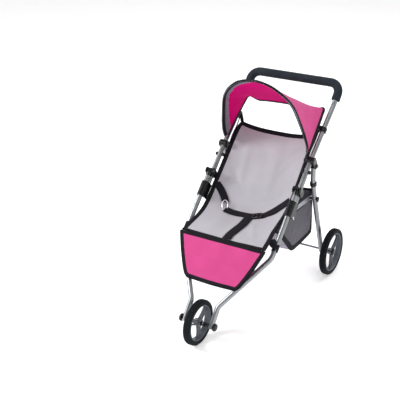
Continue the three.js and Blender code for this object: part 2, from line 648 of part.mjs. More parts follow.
// ---------- wheels ----------
const SPOKES = 3;
function wheel(name, radius, at, hubFrom, hubTo) {
  const group = new THREE.Group();
  group.position.set(at.x, at.y, at.z);
  stroller.add(group);
  const grow = 1 / Math.cos(Math.PI / WHEEL_SEGMENTS);
  const w = WHEEL_W / 2;
  const tyre = [
    [radius - TYRE_DEPTH, w - 2], [radius - 7, w], [radius - 2, w - 2], [radius, w - 4.5],
    [radius, 4.5 - w], [radius - 2, 2 - w], [radius - 7, -w], [radius - TYRE_DEPTH, 2 - w],
  ].map(([r, x]) => [r * grow, x]);
  add(`${name}_tyre`, turned(tyre, WHEEL_SEGMENTS), RUBBER, group);

  const rimR = (radius - TYRE_DEPTH) * grow - 0.5;
  const face = Math.sign(at.x) || 1;
  const rim = [
    [rimR, 8.6], [rimR - 2.6, 8.8], [rimR - 5, 3], [rimR - 5, -8.6], [rimR, -8.6],
  ];
  const hub = [[AXLE_BORE_R, hubFrom * face], [10.5, hubFrom * face], [10.5, hubTo * face], [AXLE_BORE_R, hubTo * face]];
  const pieces = [turned(rim.map(([r, x]) => [r, x * face]), WHEEL_SEGMENTS), turned(hub, 20)];
  for (let i = 0; i < SPOKES; i += 1) {
    for (const offset of [-6, 6]) {
      const length = rimR - 2 - 8;
      const rib = new THREE.BoxGeometry(5, 3.4, length);
      rib.translate(0, offset, 8 + length / 2);
      rib.rotateX((i / SPOKES) * Math.PI * 2);
      pieces.push(rib);
    }
  }
  add(`${name}_rim`, carve(pieces), GREY_PLASTIC, group);
}
wheel('front', FRONT_WHEEL_R, { x: 0, ...FRONT_AXLE }, -9.3, 9.3);
wheel('rear_left', REAR_WHEEL_R, { x: REAR_WHEEL_X, ...REAR_AXLE }, -9.5, 3);
wheel('rear_right', REAR_WHEEL_R, { x: -REAR_WHEEL_X, ...REAR_AXLE }, -9.5, 3);

export default stroller;
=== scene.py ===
"""Doll jogging stroller: the visual model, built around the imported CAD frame.

Lengths in this file are millimetres in the row frame (+Z up, front wheel toward -Y) and are
turned into metres when a mesh is made.
"""
import json
import math

import bmesh
import bpy
import numpy as np
from mathutils import Matrix, Vector, noise


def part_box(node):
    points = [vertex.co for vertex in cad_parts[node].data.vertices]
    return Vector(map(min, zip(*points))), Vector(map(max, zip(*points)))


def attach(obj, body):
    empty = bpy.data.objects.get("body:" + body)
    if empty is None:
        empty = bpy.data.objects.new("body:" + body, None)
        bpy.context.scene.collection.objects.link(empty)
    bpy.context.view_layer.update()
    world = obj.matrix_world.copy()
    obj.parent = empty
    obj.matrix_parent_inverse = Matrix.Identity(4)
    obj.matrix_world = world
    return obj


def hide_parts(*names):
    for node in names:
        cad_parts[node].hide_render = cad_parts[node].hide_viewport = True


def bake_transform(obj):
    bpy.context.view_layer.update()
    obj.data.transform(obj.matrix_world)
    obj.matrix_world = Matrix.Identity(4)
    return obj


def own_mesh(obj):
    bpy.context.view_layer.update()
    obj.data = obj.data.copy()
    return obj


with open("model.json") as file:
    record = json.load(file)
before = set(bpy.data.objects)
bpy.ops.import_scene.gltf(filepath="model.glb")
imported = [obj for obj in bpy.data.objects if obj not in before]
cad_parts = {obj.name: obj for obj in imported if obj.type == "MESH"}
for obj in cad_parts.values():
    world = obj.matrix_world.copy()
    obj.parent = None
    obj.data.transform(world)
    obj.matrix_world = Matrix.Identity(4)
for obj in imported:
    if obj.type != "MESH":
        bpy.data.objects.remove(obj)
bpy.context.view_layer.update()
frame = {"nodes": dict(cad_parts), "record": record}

MM = 0.001
SIDES = (("left", 1), ("right", -1))

# ---------------------------------------------------------------- dimensions
JOINTS = {j["name"]: j for j in frame["record"]["behaviour"]["joints"]}


def joint_point(name):
    """A joint's point in millimetres, in the row frame."""
    return np.array(JOINTS[name]["pos_m"]) / MM


FOLD = joint_point("front_fold")
CANOPY_PIVOT = joint_point("canopy_fold")
FRONT_HUB = joint_point("front_wheel_spin")
REAR_HUB = joint_point("rear_wheel_left_spin")
LEG_PIVOT = joint_point("rear_leg_fold")
STRIP_PIVOT = joint_point("basket_fold")

TUBE_R = 7.5
CLOTH = 1.8  # how thick the seat, panel and canopy cloth is modelled
FRAME_X = 144.0
FRAME_ANGLE = math.radians(43.4)
UP_TUBE = np.array([0.0, math.cos(FRAME_ANGLE), math.sin(FRAME_ANGLE)])
OFF_TUBE = np.array([0.0, -math.sin(FRAME_ANGLE), math.cos(FRAME_ANGLE)])
HINGE = FOLD - 6.0 * UP_TUBE
HANDLE_M = -16.5
HANDLE_BEND = (146.0, 284.0, 553.0)
GRIP_CORNER = (151.0, 319.7, 605.6)
GRIP_R = 13.0
FORK_X = 43.0
FORK_BEND = (FORK_X, -230.5, 107.5)
KNEE = (144.0, -107.0, 224.3)
LEG_POINTS = ((148, 145, 413), (148, 145, 370), (146, 155, 328), (134.6, 255.1, 68))
CANOPY_LEAN = math.radians(107.5)
ALONG_HOOP = np.array([0.0, math.cos(CANOPY_LEAN), math.sin(CANOPY_LEAN)])
BEHIND_HOOP = np.array([0.0, math.sin(CANOPY_LEAN), -math.cos(CANOPY_LEAN)])


def on_frame(s, m, x):
    """A point s up the front tube from the hinge and m forward of its axis."""
    point = HINGE + s * UP_TUBE + m * OFF_TUBE
    point[0] = x
    return point


def on_hoop(h, x, behind=0.0):
    """A point in the canopy hoop's plane, h up along it from the pivot line."""
    point = CANOPY_PIVOT + h * ALONG_HOOP + behind * BEHIND_HOOP
    point[0] = x
    return point


# ---------------------------------------------------------------- materials
def srgb(r, g, b):
    """Linear RGBA from 8-bit sRGB numbers."""
    values = []
    for c in (r / 255, g / 255, b / 255):
        values.append(c / 12.92 if c <= 0.04045 else ((c + 0.055) / 1.055) ** 2.4)
    return (*values, 1.0)


def shade(color, factor):
    return (*(c * factor for c in color[:3]), 1.0)


WAVE_PERIOD = 2 * math.pi / 20  # a band texture's period at scale 1


class Nodes:
    """A small helper that adds and links shader nodes."""

    def __init__(self, name):
        self.material = bpy.data.materials.new(name)
        self.material.use_nodes = True
        self.tree = self.material.node_tree
        self.shader = self.tree.nodes["Principled BSDF"]

    def add(self, kind, inputs=None, **settings):
        node = self.tree.nodes.new(kind)
        for key, value in settings.items():
            setattr(node, key, value)
        for key, value in (inputs or {}).items():
            if isinstance(value, bpy.types.NodeSocket):
                self.tree.links.new(value, node.inputs[key])
            else:
                node.inputs[key].default_value = value
        return node

    def set(self, **values):
        for key, value in values.items():
            self.shader.inputs[key.replace("_", " ")].default_value = value

    def link(self, socket, name):
        self.tree.links.new(socket, self.shader.inputs[name])

    def math(self, operation, a, b):
        return self.add("ShaderNodeMath", {0: a, 1: b}, operation=operation).outputs[0]

    def blend(self, factor, a, b):
        node = self.add("ShaderNodeMix", data_type="RGBA")
        for socket, value in ((node.inputs[0], factor), (node.inputs[6], a), (node.inputs[7], b)):
            if isinstance(value, bpy.types.NodeSocket):
                self.tree.links.new(value, socket)
            else:
                socket.default_value = value
        return node.outputs[2]

    def ramp(self, factor, low, high, from_value, to_value):
        node = self.add(
            "ShaderNodeMapRange",
            {0: factor, 1: low, 2: high, 3: from_value, 4: to_value},
        )
        return node.outputs[0]

    def noise(self, vector, scale, detail=3.0, roughness=0.6):
        return self.add(
            "ShaderNodeTexNoise",
            {"Vector": vector, "Scale": scale, "Detail": detail, "Roughness": roughness},
        ).outputs[0]

    def wave(self, uv, pitch, distortion, bands, **more):
        """A band texture whose bands are pitch millimetres apart."""
        inputs = {"Vector": uv, "Scale": WAVE_PERIOD / (pitch * MM), "Distortion": distortion}
        inputs.update((key.replace("_", " "), value) for key, value in more.items())
        return self.add("ShaderNodeTexWave", inputs, bands_direction=bands).outputs["Fac"]

    def stretched_noise(self, p, scale, frequency, detail, roughness):
        vector = self.add("ShaderNodeMapping", {"Vector": p, "Scale": scale}).outputs[0]
        return self.noise(vector, frequency, detail, roughness)

    def bevel(self, radius):
        if radius:
            return self.add("ShaderNodeBevel", {"Radius": radius * MM}, samples=6).outputs[0]

    def object_coords(self):
        return self.add("ShaderNodeTexCoord").outputs["Object"]

    def uv(self):
        return self.add("ShaderNodeTexCoord").outputs["UV"]

    def bump(self, height, strength, distance, normal=None):
        inputs = {"Height": height, "Strength": strength, "Distance": distance}
        if normal is not None:
            inputs["Normal"] = normal
        return self.add("ShaderNodeBump", inputs).outputs[0]


def fabric(name, color, thread=1.3, sheen=0.25, gap_shade=0.75, gloss=0.25):
    """Plain-woven polyester. The UVs are metres along the cloth."""
    n = Nodes(name)
    uv = n.uv()
    warp, weft = (n.wave(uv, thread, 0.6, bands, Detail=1.0, Detail_Scale=1.5) for bands in "XY")
    weave = n.math("MULTIPLY", warp, weft)
    slub = n.noise(uv, 420.0, 2.0)
    broad = n.noise(uv, 14.0, 4.0)
    dust = n.noise(uv, 60.0, 5.0, 0.7)
    # Painted shade: the weave's low points between the threads are darkened in the colour.
    weave_with_painted_gap_shade = n.blend(n.ramp(weave, 0.0, 0.7, 0.0, 1.0), shade(color, gap_shade), color)
    tone = n.ramp(broad, 0.3, 0.7, 0.0, 1.0)
    toned = n.blend(tone, shade(color, 0.9), shade(color, 1.07))
    mixed = n.blend(0.45, weave_with_painted_gap_shade, toned)
    mixed = n.blend(n.ramp(dust, 0.55, 0.8, 0.0, 0.18), mixed, shade(color, 1.25))
    n.link(mixed, "Base Color")
    height = n.math("ADD", weave, n.math("MULTIPLY", slub, 0.5))
    n.link(n.bump(height, 0.35, 0.0004), "Normal")
    n.link(n.ramp(dust, 0.2, 0.8, 0.79, 0.93), "Roughness")
    n.set(Sheen_Weight=sheen, Sheen_Roughness=0.5, Specular_IOR_Level=gloss)
    return n.material


def webbing(name, color, rib=1.6, stitch=True):
    """Ribbed tape or strap: ribs run along its length, with a row of stitches by each edge."""
    n = Nodes(name)
    uv = n.uv()
    ribs = n.wave(uv, rib, 0.3, "Y")
    cross = n.wave(uv, 2.4, 0.2, "X")
    fuzz = n.noise(uv, 900.0, 2.0)
    height = n.math("ADD", n.math("MULTIPLY", ribs, 0.7), n.math("MULTIPLY", fuzz, 0.4))
    # Painted shade and painted light: the rib grooves are darkened and the rib tops lightened in the colour.
    base = n.blend(ribs, shade(color, 0.7), shade(color, 1.2))
    if stitch:
        split = n.add("ShaderNodeSeparateXYZ", {0: uv})
        edge = n.add("ShaderNodeMath", {0: split.outputs[1], 1: 0.0075}, operation="SUBTRACT")
        distance = n.add("ShaderNodeMath", {0: edge.outputs[0]}, operation="ABSOLUTE").outputs[0]
        near = n.math("LESS_THAN", distance, 0.0006)
        thread = n.math("MULTIPLY", near, n.math("GREATER_THAN", cross, 0.35))
        base = n.blend(thread, base, shade(color, 2.4))
        height = n.math("ADD", height, n.math("MULTIPLY", thread, 0.9))
    n.link(base, "Base Color")
    n.link(n.bump(height, 0.45, 0.0005), "Normal")
    n.link(n.ramp(fuzz, 0.3, 0.7, 0.7, 0.9), "Roughness")
    n.set(Sheen_Weight=0.04, Sheen_Roughness=0.5, Specular_IOR_Level=0.15)
    return n.material


def plastic(name, color, rough, bevel=0.0):
    """Moulded plastic with a fine spark-eroded grain, faint flow marks and scuffs."""
    n = Nodes(name)
    p = n.object_coords()
    fine = n.noise(p, 1400.0, 2.0)
    flow = n.noise(p, 45.0, 4.0)
    scuff = n.stretched_noise(p, (1.0, 1.0, 9.0), 160.0, 6.0, 0.75)
    worn = n.ramp(scuff, 0.6, 0.78, 0.0, 0.35)
    clean = n.blend(flow, shade(color, 0.85), shade(color, 1.15))
    n.link(n.blend(worn, clean, shade(color, 2.2)), "Base Color")
    n.link(n.ramp(n.math("ADD", flow, worn), 0.2, 1.2, rough - 0.06, rough + 0.22), "Roughness")
    height = n.math("ADD", fine, n.math("MULTIPLY", scuff, 0.4))
    n.link(n.bump(height, 0.12, 0.0003, n.bevel(bevel)), "Normal")
    n.set(Specular_IOR_Level=0.35)
    return n.material


def metal(name, color, rough, bevel=0.0):
    """Bright plated or brushed metal with drawing marks, fingerprints and fine scratches."""
    n = Nodes(name)
    p = n.object_coords()
    marks = n.stretched_noise(p, (1.0, 7.0, 7.0), 260.0, 4.0, 0.7)
    smudge = n.noise(p, 28.0, 4.0, 0.6)
    pits = n.noise(p, 700.0, 3.0)
    n.link(n.blend(n.ramp(smudge, 0.35, 0.7, 0.0, 1.0), shade(color, 0.86), color), "Base Color")
    grime = n.math("ADD", smudge, n.math("MULTIPLY", marks, 0.5))
    n.link(n.ramp(grime, 0.4, 1.1, rough - 0.05, rough + 0.14), "Roughness")
    height = n.math("ADD", marks, n.math("MULTIPLY", pits, 0.3))
    n.link(n.bump(height, 0.1, 0.0002, n.bevel(bevel)), "Normal")
    n.set(Metallic=1.0)
    return n.material


def foam_rubber(name, color, pore=900.0, rough=0.92, strength=0.5):
    """Matt foam or rubber with pores and a dusty bloom."""
    n = Nodes(name)
    p = n.object_coords()
    cells = n.add("ShaderNodeTexVoronoi", {"Vector": p, "Scale": pore, "Randomness": 1.0})
    pores = cells.outputs["Distance"]
    bloom = n.noise(p, 38.0, 5.0, 0.65)
    fine = n.noise(p, 1800.0, 2.0)
    dusty = n.ramp(bloom, 0.35, 0.75, 0.0, 1.0)
    n.link(n.blend(dusty, shade(color, 0.85), shade(color, 1.5)), "Base Color")
    n.link(n.bump(n.math("ADD", pores, n.math("MULTIPLY", fine, 0.5)), strength, 0.0004), "Normal")
    n.link(n.ramp(bloom, 0.2, 0.8, rough - 0.1, rough + 0.05), "Roughness")
    n.set(Specular_IOR_Level=0.15)
    return n.material


CHROME = metal("chrome_tube", srgb(150, 153, 156), 0.26)
ZINC = metal("zinc_steel", srgb(120, 124, 128), 0.34, bevel=0.4)
STRIP_METAL = metal("satin_strip", srgb(160, 162, 170), 0.42, bevel=0.5)
RING_METAL = metal("ring_metal", srgb(226, 228, 232), 0.25)
BLACK = plastic("black_plastic", srgb(11, 13, 16), 0.26, bevel=0.9)
BLACK_SMOOTH = plastic("black_plastic_moulded", srgb(10, 12, 15), 0.15)
RIM_GREY = plastic("rim_plastic", srgb(80, 84, 91), 0.32)
FOAM = foam_rubber("grip_foam", srgb(36, 42, 48))
TYRE = foam_rubber("tyre_rubber", srgb(17, 21, 24), 600.0, 0.78, 0.35)
PINK = fabric("pink_fabric", srgb(206, 72, 136), sheen=0.12, gloss=0.15)
# The canopy's inside is its own pink cloth painted deeper and more saturated: painted shade and painted light
# shining through the cloth.
PINK_INSIDE_PAINTED_SHADE = fabric("canopy_inside_painted_shade", srgb(214, 3, 118), sheen=0.0, gloss=0.04)
LINING = fabric("canopy_lining", srgb(122, 120, 132), sheen=0.05)
LILAC = fabric("seat_fabric", srgb(182, 181, 188), 1.5, sheen=0.15, gap_shade=0.82)
SIDE_GREY = fabric("basket_side", srgb(72, 69, 80), 1.5)
FRONT_GREY = fabric("basket_front", srgb(140, 135, 150), 1.5)
BINDING = webbing("binding_tape", srgb(18, 17, 24))
WEBBING = webbing("belt_webbing", srgb(21, 20, 28), 2.2, stitch=False)


# ---------------------------------------------------------------- mesh helpers
def piece(name, verts, faces, materials, body, slot, replaces=(), uvs=None, indices=None):
    """Makes a mesh object from millimetre points and hands it to a body."""
    mesh = bpy.data.meshes.new(name)
    points = [tuple(float(c) * MM for c in v) for v in verts]
    mesh.from_pydata(points, [], [tuple(map(int, f)) for f in faces])
    materials = materials if isinstance(materials, (list, tuple)) else [materials]
    for material in materials:
        mesh.materials.append(material)
    if indices is not None:
        mesh.polygons.foreach_set("material_index", np.array(indices, np.int32))
    if uvs is not None:
        layer = mesh.uv_layers.new(name="UVMap")
        loops = np.zeros(len(mesh.loops), np.int32)
        mesh.loops.foreach_get("vertex_index", loops)
        layer.data.foreach_set("uv", (np.asarray(uvs, float)[loops] * MM).ravel())
    mesh.validate()
    mesh.update()
    obj = bpy.data.objects.new(name, mesh)
    bpy.context.scene.collection.objects.link(obj)
    mesh.shade_smooth()
    if body:
        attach(obj, body)
    if replaces:
        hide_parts(*replaces)
    return obj


def soften(obj, width, segments, angle):
    """Rounds the sharp edges of a moulded or cut piece."""
    bevel = obj.modifiers.new("edges", "BEVEL")
    bevel.width = width * MM
    bevel.segments = segments
    bevel.limit_method = "ANGLE"
    bevel.angle_limit = math.radians(angle)
    obj.data.set_sharp_from_angle(angle=math.radians(40))
    normals = obj.modifiers.new("normals", "WEIGHTED_NORMAL")
    normals.keep_sharp = True
    return obj


def rounded(points, radii, steps=8):
    """Stations along a line of points whose inner corners are rounded."""
    pts = [np.array(p, float) for p in points]
    out = [pts[0]]
    for i in range(1, len(pts) - 1):
        back = pts[i - 1] - pts[i]
        on = pts[i + 1] - pts[i]
        back /= np.linalg.norm(back)
        on /= np.linalg.norm(on)
        turn = math.pi - math.acos(float(np.clip(back @ on, -1, 1)))
        r = radii[i - 1]
        reach = r * math.tan(turn / 2)
        start, end = pts[i] + back * reach, pts[i] + on * reach
        centre = back + on
        centre = pts[i] + centre / np.linalg.norm(centre) * (r / math.cos(turn / 2))
        a, b = start - centre, end - centre
        for k in range(steps + 1):
            f = k / steps
            out.append(centre + (a * math.sin((1 - f) * turn) + b * math.sin(f * turn)) / math.sin(turn))
    out.append(pts[-1])
    return out


def catmull(points, steps):
    """A Catmull-Rom line with a fixed number of steps between each pair of points."""
    pts = [np.array(p, float) for p in points]
    padded = [2 * pts[0] - pts[1], *pts, 2 * pts[-1] - pts[-2]]
    dense = []
    for p0, p1, p2, p3 in zip(padded, padded[1:], padded[2:], padded[3:]):
        for k in range(steps):
            t = k / steps
            square = (2 * p0 - 5 * p1 + 4 * p2 - p3) * t * t
            cube = (3 * p1 - p0 - 3 * p2 + p3) * t**3
            dense.append(0.5 * (2 * p1 + (p2 - p0) * t + square + cube))
    return np.array([*dense, pts[-1]])


def resampled(line, length, at):
    return np.stack([np.interp(at, length, line[:, k]) for k in range(line.shape[1])], axis=1)


def run_length(line):
    """The distance along a line to each of its points."""
    return np.concatenate([[0], np.cumsum(np.linalg.norm(np.diff(line, axis=0), axis=1))])


def spline(points, count):
    """A smooth line through the points, resampled evenly."""
    dense = catmull(points, 24)
    length = run_length(dense)
    return resampled(dense, length, np.linspace(0, length[-1], count))


def tangents(stations):
    pts = np.array(stations)
    out = []
    for i in range(len(pts)):
        t = np.zeros(3)
        if i:
            d = pts[i] - pts[i - 1]
            t += d / np.linalg.norm(d)
        if i < len(pts) - 1:
            d = pts[i + 1] - pts[i]
            t += d / np.linalg.norm(d)
        out.append(t / np.linalg.norm(t))
    return np.array(out)


def frames(stations, first):
    """Two cross directions at each station that twist as little as they can."""
    tan = tangents(stations)
    a = np.array(first, float)
    if abs(a @ tan[0]) > 0.95:
        a = np.array((0, 0, 1.0))
    us, vs = [], []
    for t in tan:
        a = a - t * (a @ t)
        a /= np.linalg.norm(a)
        us.append(a.copy())
        vs.append(np.cross(t, a))
    return np.array(us), np.array(vs)


def ring_faces(rows, n, closed=False):
    """Faces between rows of n points round a section, with end caps unless the rows close."""
    faces = []
    for i in range(rows if closed else rows - 1):
        j = (i + 1) % rows
        for k in range(n):
            m = (k + 1) % n
            faces.append((i * n + k, i * n + m, j * n + m, j * n + k))
    if not closed:
        faces.append(tuple(reversed(range(n))))
        faces.append(tuple(range((rows - 1) * n, rows * n)))
    return faces


def swept(stations, sections, first=(1.0, 0, 0)):
    """Points, faces and UVs of sections, a list of (a, b) for each station, along the stations."""
    us, vs = frames(stations, first)
    run = run_length(np.array(stations, float))
    verts, uvs = [], []
    for p, u, v, section, gone in zip(stations, us, vs, sections, run):
        around = 0.0
        for k, (a, b) in enumerate(section):
            if k:
                around += math.dist((a, b), section[k - 1])
            verts.append(np.array(p) + a * u + b * v)
            uvs.append((gone, around))
    return verts, ring_faces(len(stations), len(sections[0])), uvs


def circle(r, n=28):
    angles = (2 * math.pi * k / n for k in range(n))
    return [(r * math.cos(a), r * math.sin(a)) for a in angles]


def tube(name, stations, radius, material, body, slot, replaces=(), sides=28, rounding=0.6):
    """A round tube with slightly rounded ends."""
    tan = tangents(stations)
    pts = [np.array(p) for p in stations]
    line = [pts[0], pts[0] + tan[0] * rounding, *pts[1:-1], pts[-1] - tan[-1] * rounding, pts[-1]]
    radii = [radius - rounding, *[radius] * (len(line) - 2), radius - rounding]
    verts, faces, uvs = swept(line, [circle(r, sides) for r in radii])
    obj = piece(name, verts, faces, material, body, slot, replaces, uvs)
    obj.data.set_sharp_from_angle(angle=math.radians(40))
    return obj


def spun(profile, segments, at):
    """A solid of revolution about X from a closed profile of (radius, x)."""
    verts = []
    n = len(profile)
    for k in range(segments):
        a = 2 * math.pi * k / segments
        for r, x in profile:
            verts.append((at[0] + x, at[1] + r * math.cos(a), at[2] + r * math.sin(a)))
    off_axis = lambda face: any(profile[i % n][0] >= 1e-6 for i in face)
    return verts, [face for face in ring_faces(segments, n, closed=True) if off_axis(face)]


def weld(obj):
    """Merges points that coincide and turns every face outward."""
    bm = bmesh.new()
    bm.from_mesh(obj.data)
    bmesh.ops.remove_doubles(bm, verts=bm.verts, dist=0.01 * MM)
    bmesh.ops.recalc_face_normals(bm, faces=bm.faces)
    bm.to_mesh(obj.data)
    bm.free()
    return obj


def turned(name, profile, at, sign, material, body, slot, replaces=(), segments=40):
    """A small turned part, with its profile's x measured outward from the middle plane."""
    verts, faces = spun([(r, sign * x) for r, x in profile], segments, (0, at[1], at[2]))
    return weld(piece(name, verts, faces, material, body, slot, replaces))


def turned_node(node, profile, at, sign, body, material=BLACK_SMOOTH, slot="black_plastic"):
    """A turned part in place of a CAD node."""
    return turned(f"{node}_v", profile, at, sign, material, body, slot, [node])


def prism(outline, x0, x1):
    """Points and faces of an outline of (y, z), extruded along X."""
    n = len(outline)
    verts = [(x0, y, z) for y, z in outline] + [(x1, y, z) for y, z in outline]
    faces = [tuple(reversed(range(n))), tuple(range(n, 2 * n))]
    faces += [(k, (k + 1) % n, (k + 1) % n + n, k + n) for k in range(n)]
    return verts, faces


def join(parts):
    """Joins lists of points and faces into one."""
    verts, faces = [], []
    for v, f in parts:
        base = len(verts)
        verts.extend(v)
        faces.extend(tuple(i + base for i in face) for face in f)
    return verts, faces


# ---------------------------------------------------------------- cloth helpers
def grid_normals(points):
    """Unit normals of a grid of points."""
    n = np.cross(np.gradient(points, axis=0), np.gradient(points, axis=1))
    return n / np.maximum(np.linalg.norm(n, axis=2, keepdims=True), 1e-9)


def cloth(name, grid, thickness, materials, body, slot, replaces=(), paint=None):
    """A thin closed sheet over a grid of points. paint(row, column, side) picks a material."""
    grid = np.asarray(grid, float)
    rows, cols = grid.shape[:2]
    normal = grid_normals(grid)
    steps = [np.linalg.norm(np.diff(grid, axis=a), axis=2) for a in (0, 1)]
    along = np.concatenate([np.zeros((1, cols)), np.cumsum(steps[0], axis=0)])
    across = np.concatenate([np.zeros((rows, 1)), np.cumsum(steps[1], axis=1)], axis=1)
    front = grid + normal * thickness / 2
    back = grid - normal * thickness / 2
    verts = np.concatenate([front.reshape(-1, 3), back.reshape(-1, 3)])
    uvs = np.concatenate([np.stack([along, across], axis=2).reshape(-1, 2)] * 2)
    half = rows * cols
    faces, indices = [], []

    def put(face, i, j, side):
        faces.append(face)
        indices.append(paint(i / (rows - 1), j / (cols - 1), side) if paint else 0)

    for i in range(rows - 1):
        for j in range(cols - 1):
            a, b = i * cols + j, (i + 1) * cols + j
            put((a, b, b + 1, a + 1), i, j, 1)
            put((a + 1 + half, b + 1 + half, b + half, a + half), i, j, -1)

    def rim(a, b, flip, i, j):
        put((b, a, a + half, b + half) if flip else (a, b, b + half, a + half), i, j, 1)

    for i in range(rows - 1):
        for j in (0, cols - 1):
            rim(i * cols + j, (i + 1) * cols + j, j == 0, i, j)
    for j in range(cols - 1):
        for i in (0, rows - 1):
            rim(i * cols + j, i * cols + j + 1, i > 0, i, j)
    return piece(name, verts, faces, materials, body, slot, replaces, uvs, indices)


TAPE_SPACING = 3.0
STITCH_PITCH = 9.0


def tape(name, edge, inward, normal, width, thick, body, slot, outset=1.2):
    """Folded binding tape round a cloth edge, slightly puckered by its stitches."""
    edge, inward, normal = (np.asarray(a, float) for a in (edge, inward, normal))
    length = run_length(edge)
    count = max(int(length[-1] / TAPE_SPACING), 4)
    at = np.linspace(0, length[-1], count)
    edge, inward, normal = (resampled(a, length, at) for a in (edge, inward, normal))
    t = thick / 2
    upper = [(-outset * 0.7, t * 0.75), (0.6, t * 1.1), (width * 0.45, t), (width * 0.8, t * 0.8),
             (width - 0.4, t * 0.6), (width, 0.15)]
    section = [(-outset, 0.0), *upper, *((s, -h) for s, h in reversed(upper))]
    verts, uvs = [], []
    for i in range(count):
        run = tangents(edge)[i] if i in (0, count - 1) else edge[i + 1] - edge[i - 1]
        run = run / np.linalg.norm(run)
        a = inward[i] - run * (inward[i] @ run)
        a /= np.linalg.norm(a)
        b = normal[i] - run * (normal[i] @ run) - a * (normal[i] @ a)
        b /= np.linalg.norm(b)
        puff = 1 + 0.12 * math.sin(at[i] * 2 * math.pi / STITCH_PITCH)
        puff += 0.1 * noise.noise(Vector(edge[i] * 0.05))
        for s, h in section:
            verts.append(edge[i] + a * s + b * h * puff)
            uvs.append((at[i], max(s, 0.0)))
    return piece(name, verts, ring_faces(count, len(section)), BINDING, body, slot, (), uvs)


def border(grid, side):
    """A grid's edge with its inward and normal directions. side is top, bottom, first or last."""
    grid = np.asarray(grid, float)
    normal = grid_normals(grid)
    if side in ("first", "last"):
        grid, normal = grid.swapaxes(0, 1), normal.swapaxes(0, 1)
    if side in ("bottom", "last"):
        grid, normal = grid[::-1], normal[::-1]
    return grid[0], grid[2] - grid[0], normal[0]


def bind(name, grid, side, width, thick, body, slot, **options):
    """Binding tape on one edge of a cloth's grid."""
    return tape(name, *border(grid, side), width, thick, body, slot, **options)


def strap(name, points, normals, width, thick, body, replaces=(), samples=60):
    """Flat webbing through points, facing the normals."""
    line = spline(points, samples)
    face = spline(normals, samples)
    t, w = thick / 2, width / 2
    upper = [(-w + 0.5, t * 0.8), (-w * 0.5, t), (w * 0.5, t), (w - 0.5, t * 0.8)]
    section = [(-w, 0.0), *upper, (w, 0.0), *((s, -h) for s, h in reversed(upper))]
    tan, run = tangents(line), run_length(line)
    verts, uvs = [], []
    for i in range(samples):
        b = face[i] - tan[i] * (face[i] @ tan[i])
        b /= np.linalg.norm(b)
        a = np.cross(tan[i], b)
        for s, h in section:
            verts.append(line[i] + a * s + b * h)
            uvs.append((run[i], s + w))
    faces = ring_faces(samples, len(section))
    return piece(name, verts, faces, WEBBING, body, "webbing", replaces, uvs)


def bumpy(point, scale, seed=0.0):
    """Smooth noise from -1 to 1 at a point in millimetres."""
    return noise.noise(Vector(point) * scale + Vector((seed, seed * 1.7, -seed)))


# ---------------------------------------------------------------- handle frame
canopy_point = on_frame(106.6, HANDLE_M, FRAME_X)
handle_half = [on_frame(-63, HANDLE_M, FRAME_X), canopy_point, HANDLE_BEND, GRIP_CORNER]


def mirrored(points):
    return [(-p[0], p[1], p[2]) for p in points]


handle_line = rounded([*handle_half, *mirrored(handle_half[::-1])], [60, 60, 30, 30, 60, 60], 9)
tube("handle_tube_v", handle_line, TUBE_R, CHROME, "handle_frame", "tube", ["handle_tube"])

bend, corner = np.array(HANDLE_BEND), np.array(GRIP_CORNER)
foam_end = bend + (corner - bend) * 0.17
foam_line = rounded([foam_end, corner, *mirrored([corner, foam_end])], [30, 30], 12)
foam_in, foam_out = foam_line[0], foam_line[-1]
step_in = tangents(foam_line)[0]
step_out = tangents(foam_line)[-1]
END = ((-0.05, 8.0), (0.0, 11.6), (0.6, 12.4), (1.8, 12.9), (3.5, 13.0))
bar = [np.array((x, GRIP_CORNER[1], GRIP_CORNER[2])) for x in np.linspace(115, -115, 24)]
middle = len(foam_line) // 2
foam_stations = [foam_in + step_in * d for d, _ in END] + foam_line[1:middle] + bar + foam_line[middle:-1]
foam_stations += [foam_out - step_out * d for d, _ in reversed(END)]
foam_radii = [r for _, r in END]
foam_radii += [GRIP_R] * (len(foam_stations) - 2 * len(END)) + foam_radii[::-1]
verts, faces, uvs = swept(foam_stations, [circle(r, 40) for r in foam_radii])
grip = piece("foam_grip_v", verts, faces, FOAM, "handle_frame", "foam", ["foam_grip"], uvs)
grip.data.set_sharp_from_angle(angle=math.radians(50))

for side, sign in SIDES:
    bolt = [(0, 129.6), (3.5, 129.8), (5.0, 130.9), (5.5, 132.4), (5.5, 135.4), (2.0, 135.6), (2.0, 152.4),
            (5.5, 152.6), (5.5, 155.4), (5.0, 157.0), (3.5, 158.1), (0, 158.4)]
    bolt_at = on_frame(70, HANDLE_M, FRAME_X)
    turned_node(f"seat_bolt_{side}", bolt, bolt_at, sign, "handle_frame")
    pin = [(0, 130.7), (3.5, 130.7), (4.8, 131.2), (5.0, 131.7), (2.5, 131.7), (2.5, 156.3), (6.0, 156.3),
           (5.9, 157.4), (4.8, 158.7), (2.6, 159.3), (0, 159.4)]
    turned_node(f"fold_pin_{side}", pin, FOLD, sign, "handle_frame", ZINC, "steel")

for side, sign in SIDES:
    top_at, low_at = canopy_point[1:], LEG_PIVOT[1:]
    axis = math.atan2(low_at[1] - top_at[1], low_at[0] - top_at[0])
    outline = []
    for end, radius, start, count in ((top_at, 11.6, math.pi / 2, 20), (low_at, 9.2, -math.pi / 2, 18)):
        for t in np.linspace(start, start + math.pi, count):
            outline.append(end + radius * np.array((math.cos(axis + t), math.sin(axis + t))))
    verts, faces = prism([tuple(p) for p in outline], sign * 133.5, sign * 158.5)
    block = piece(f"leg_block_{side}_v", verts, faces, BLACK_SMOOTH, "handle_frame", "black_plastic",
                  [f"leg_block_{side}"])
    soften(weld(block), 2.4, 4, 40)
    dish = [(0, 159.6), (3.0, 159.5), (4.6, 159.0), (5.2, 158.2), (5.2, 157.4), (0, 157.4)]
    turned(f"leg_block_stud_{side}", dish, (0, *top_at), sign, ZINC, "handle_frame", "black_plastic", (), 28)

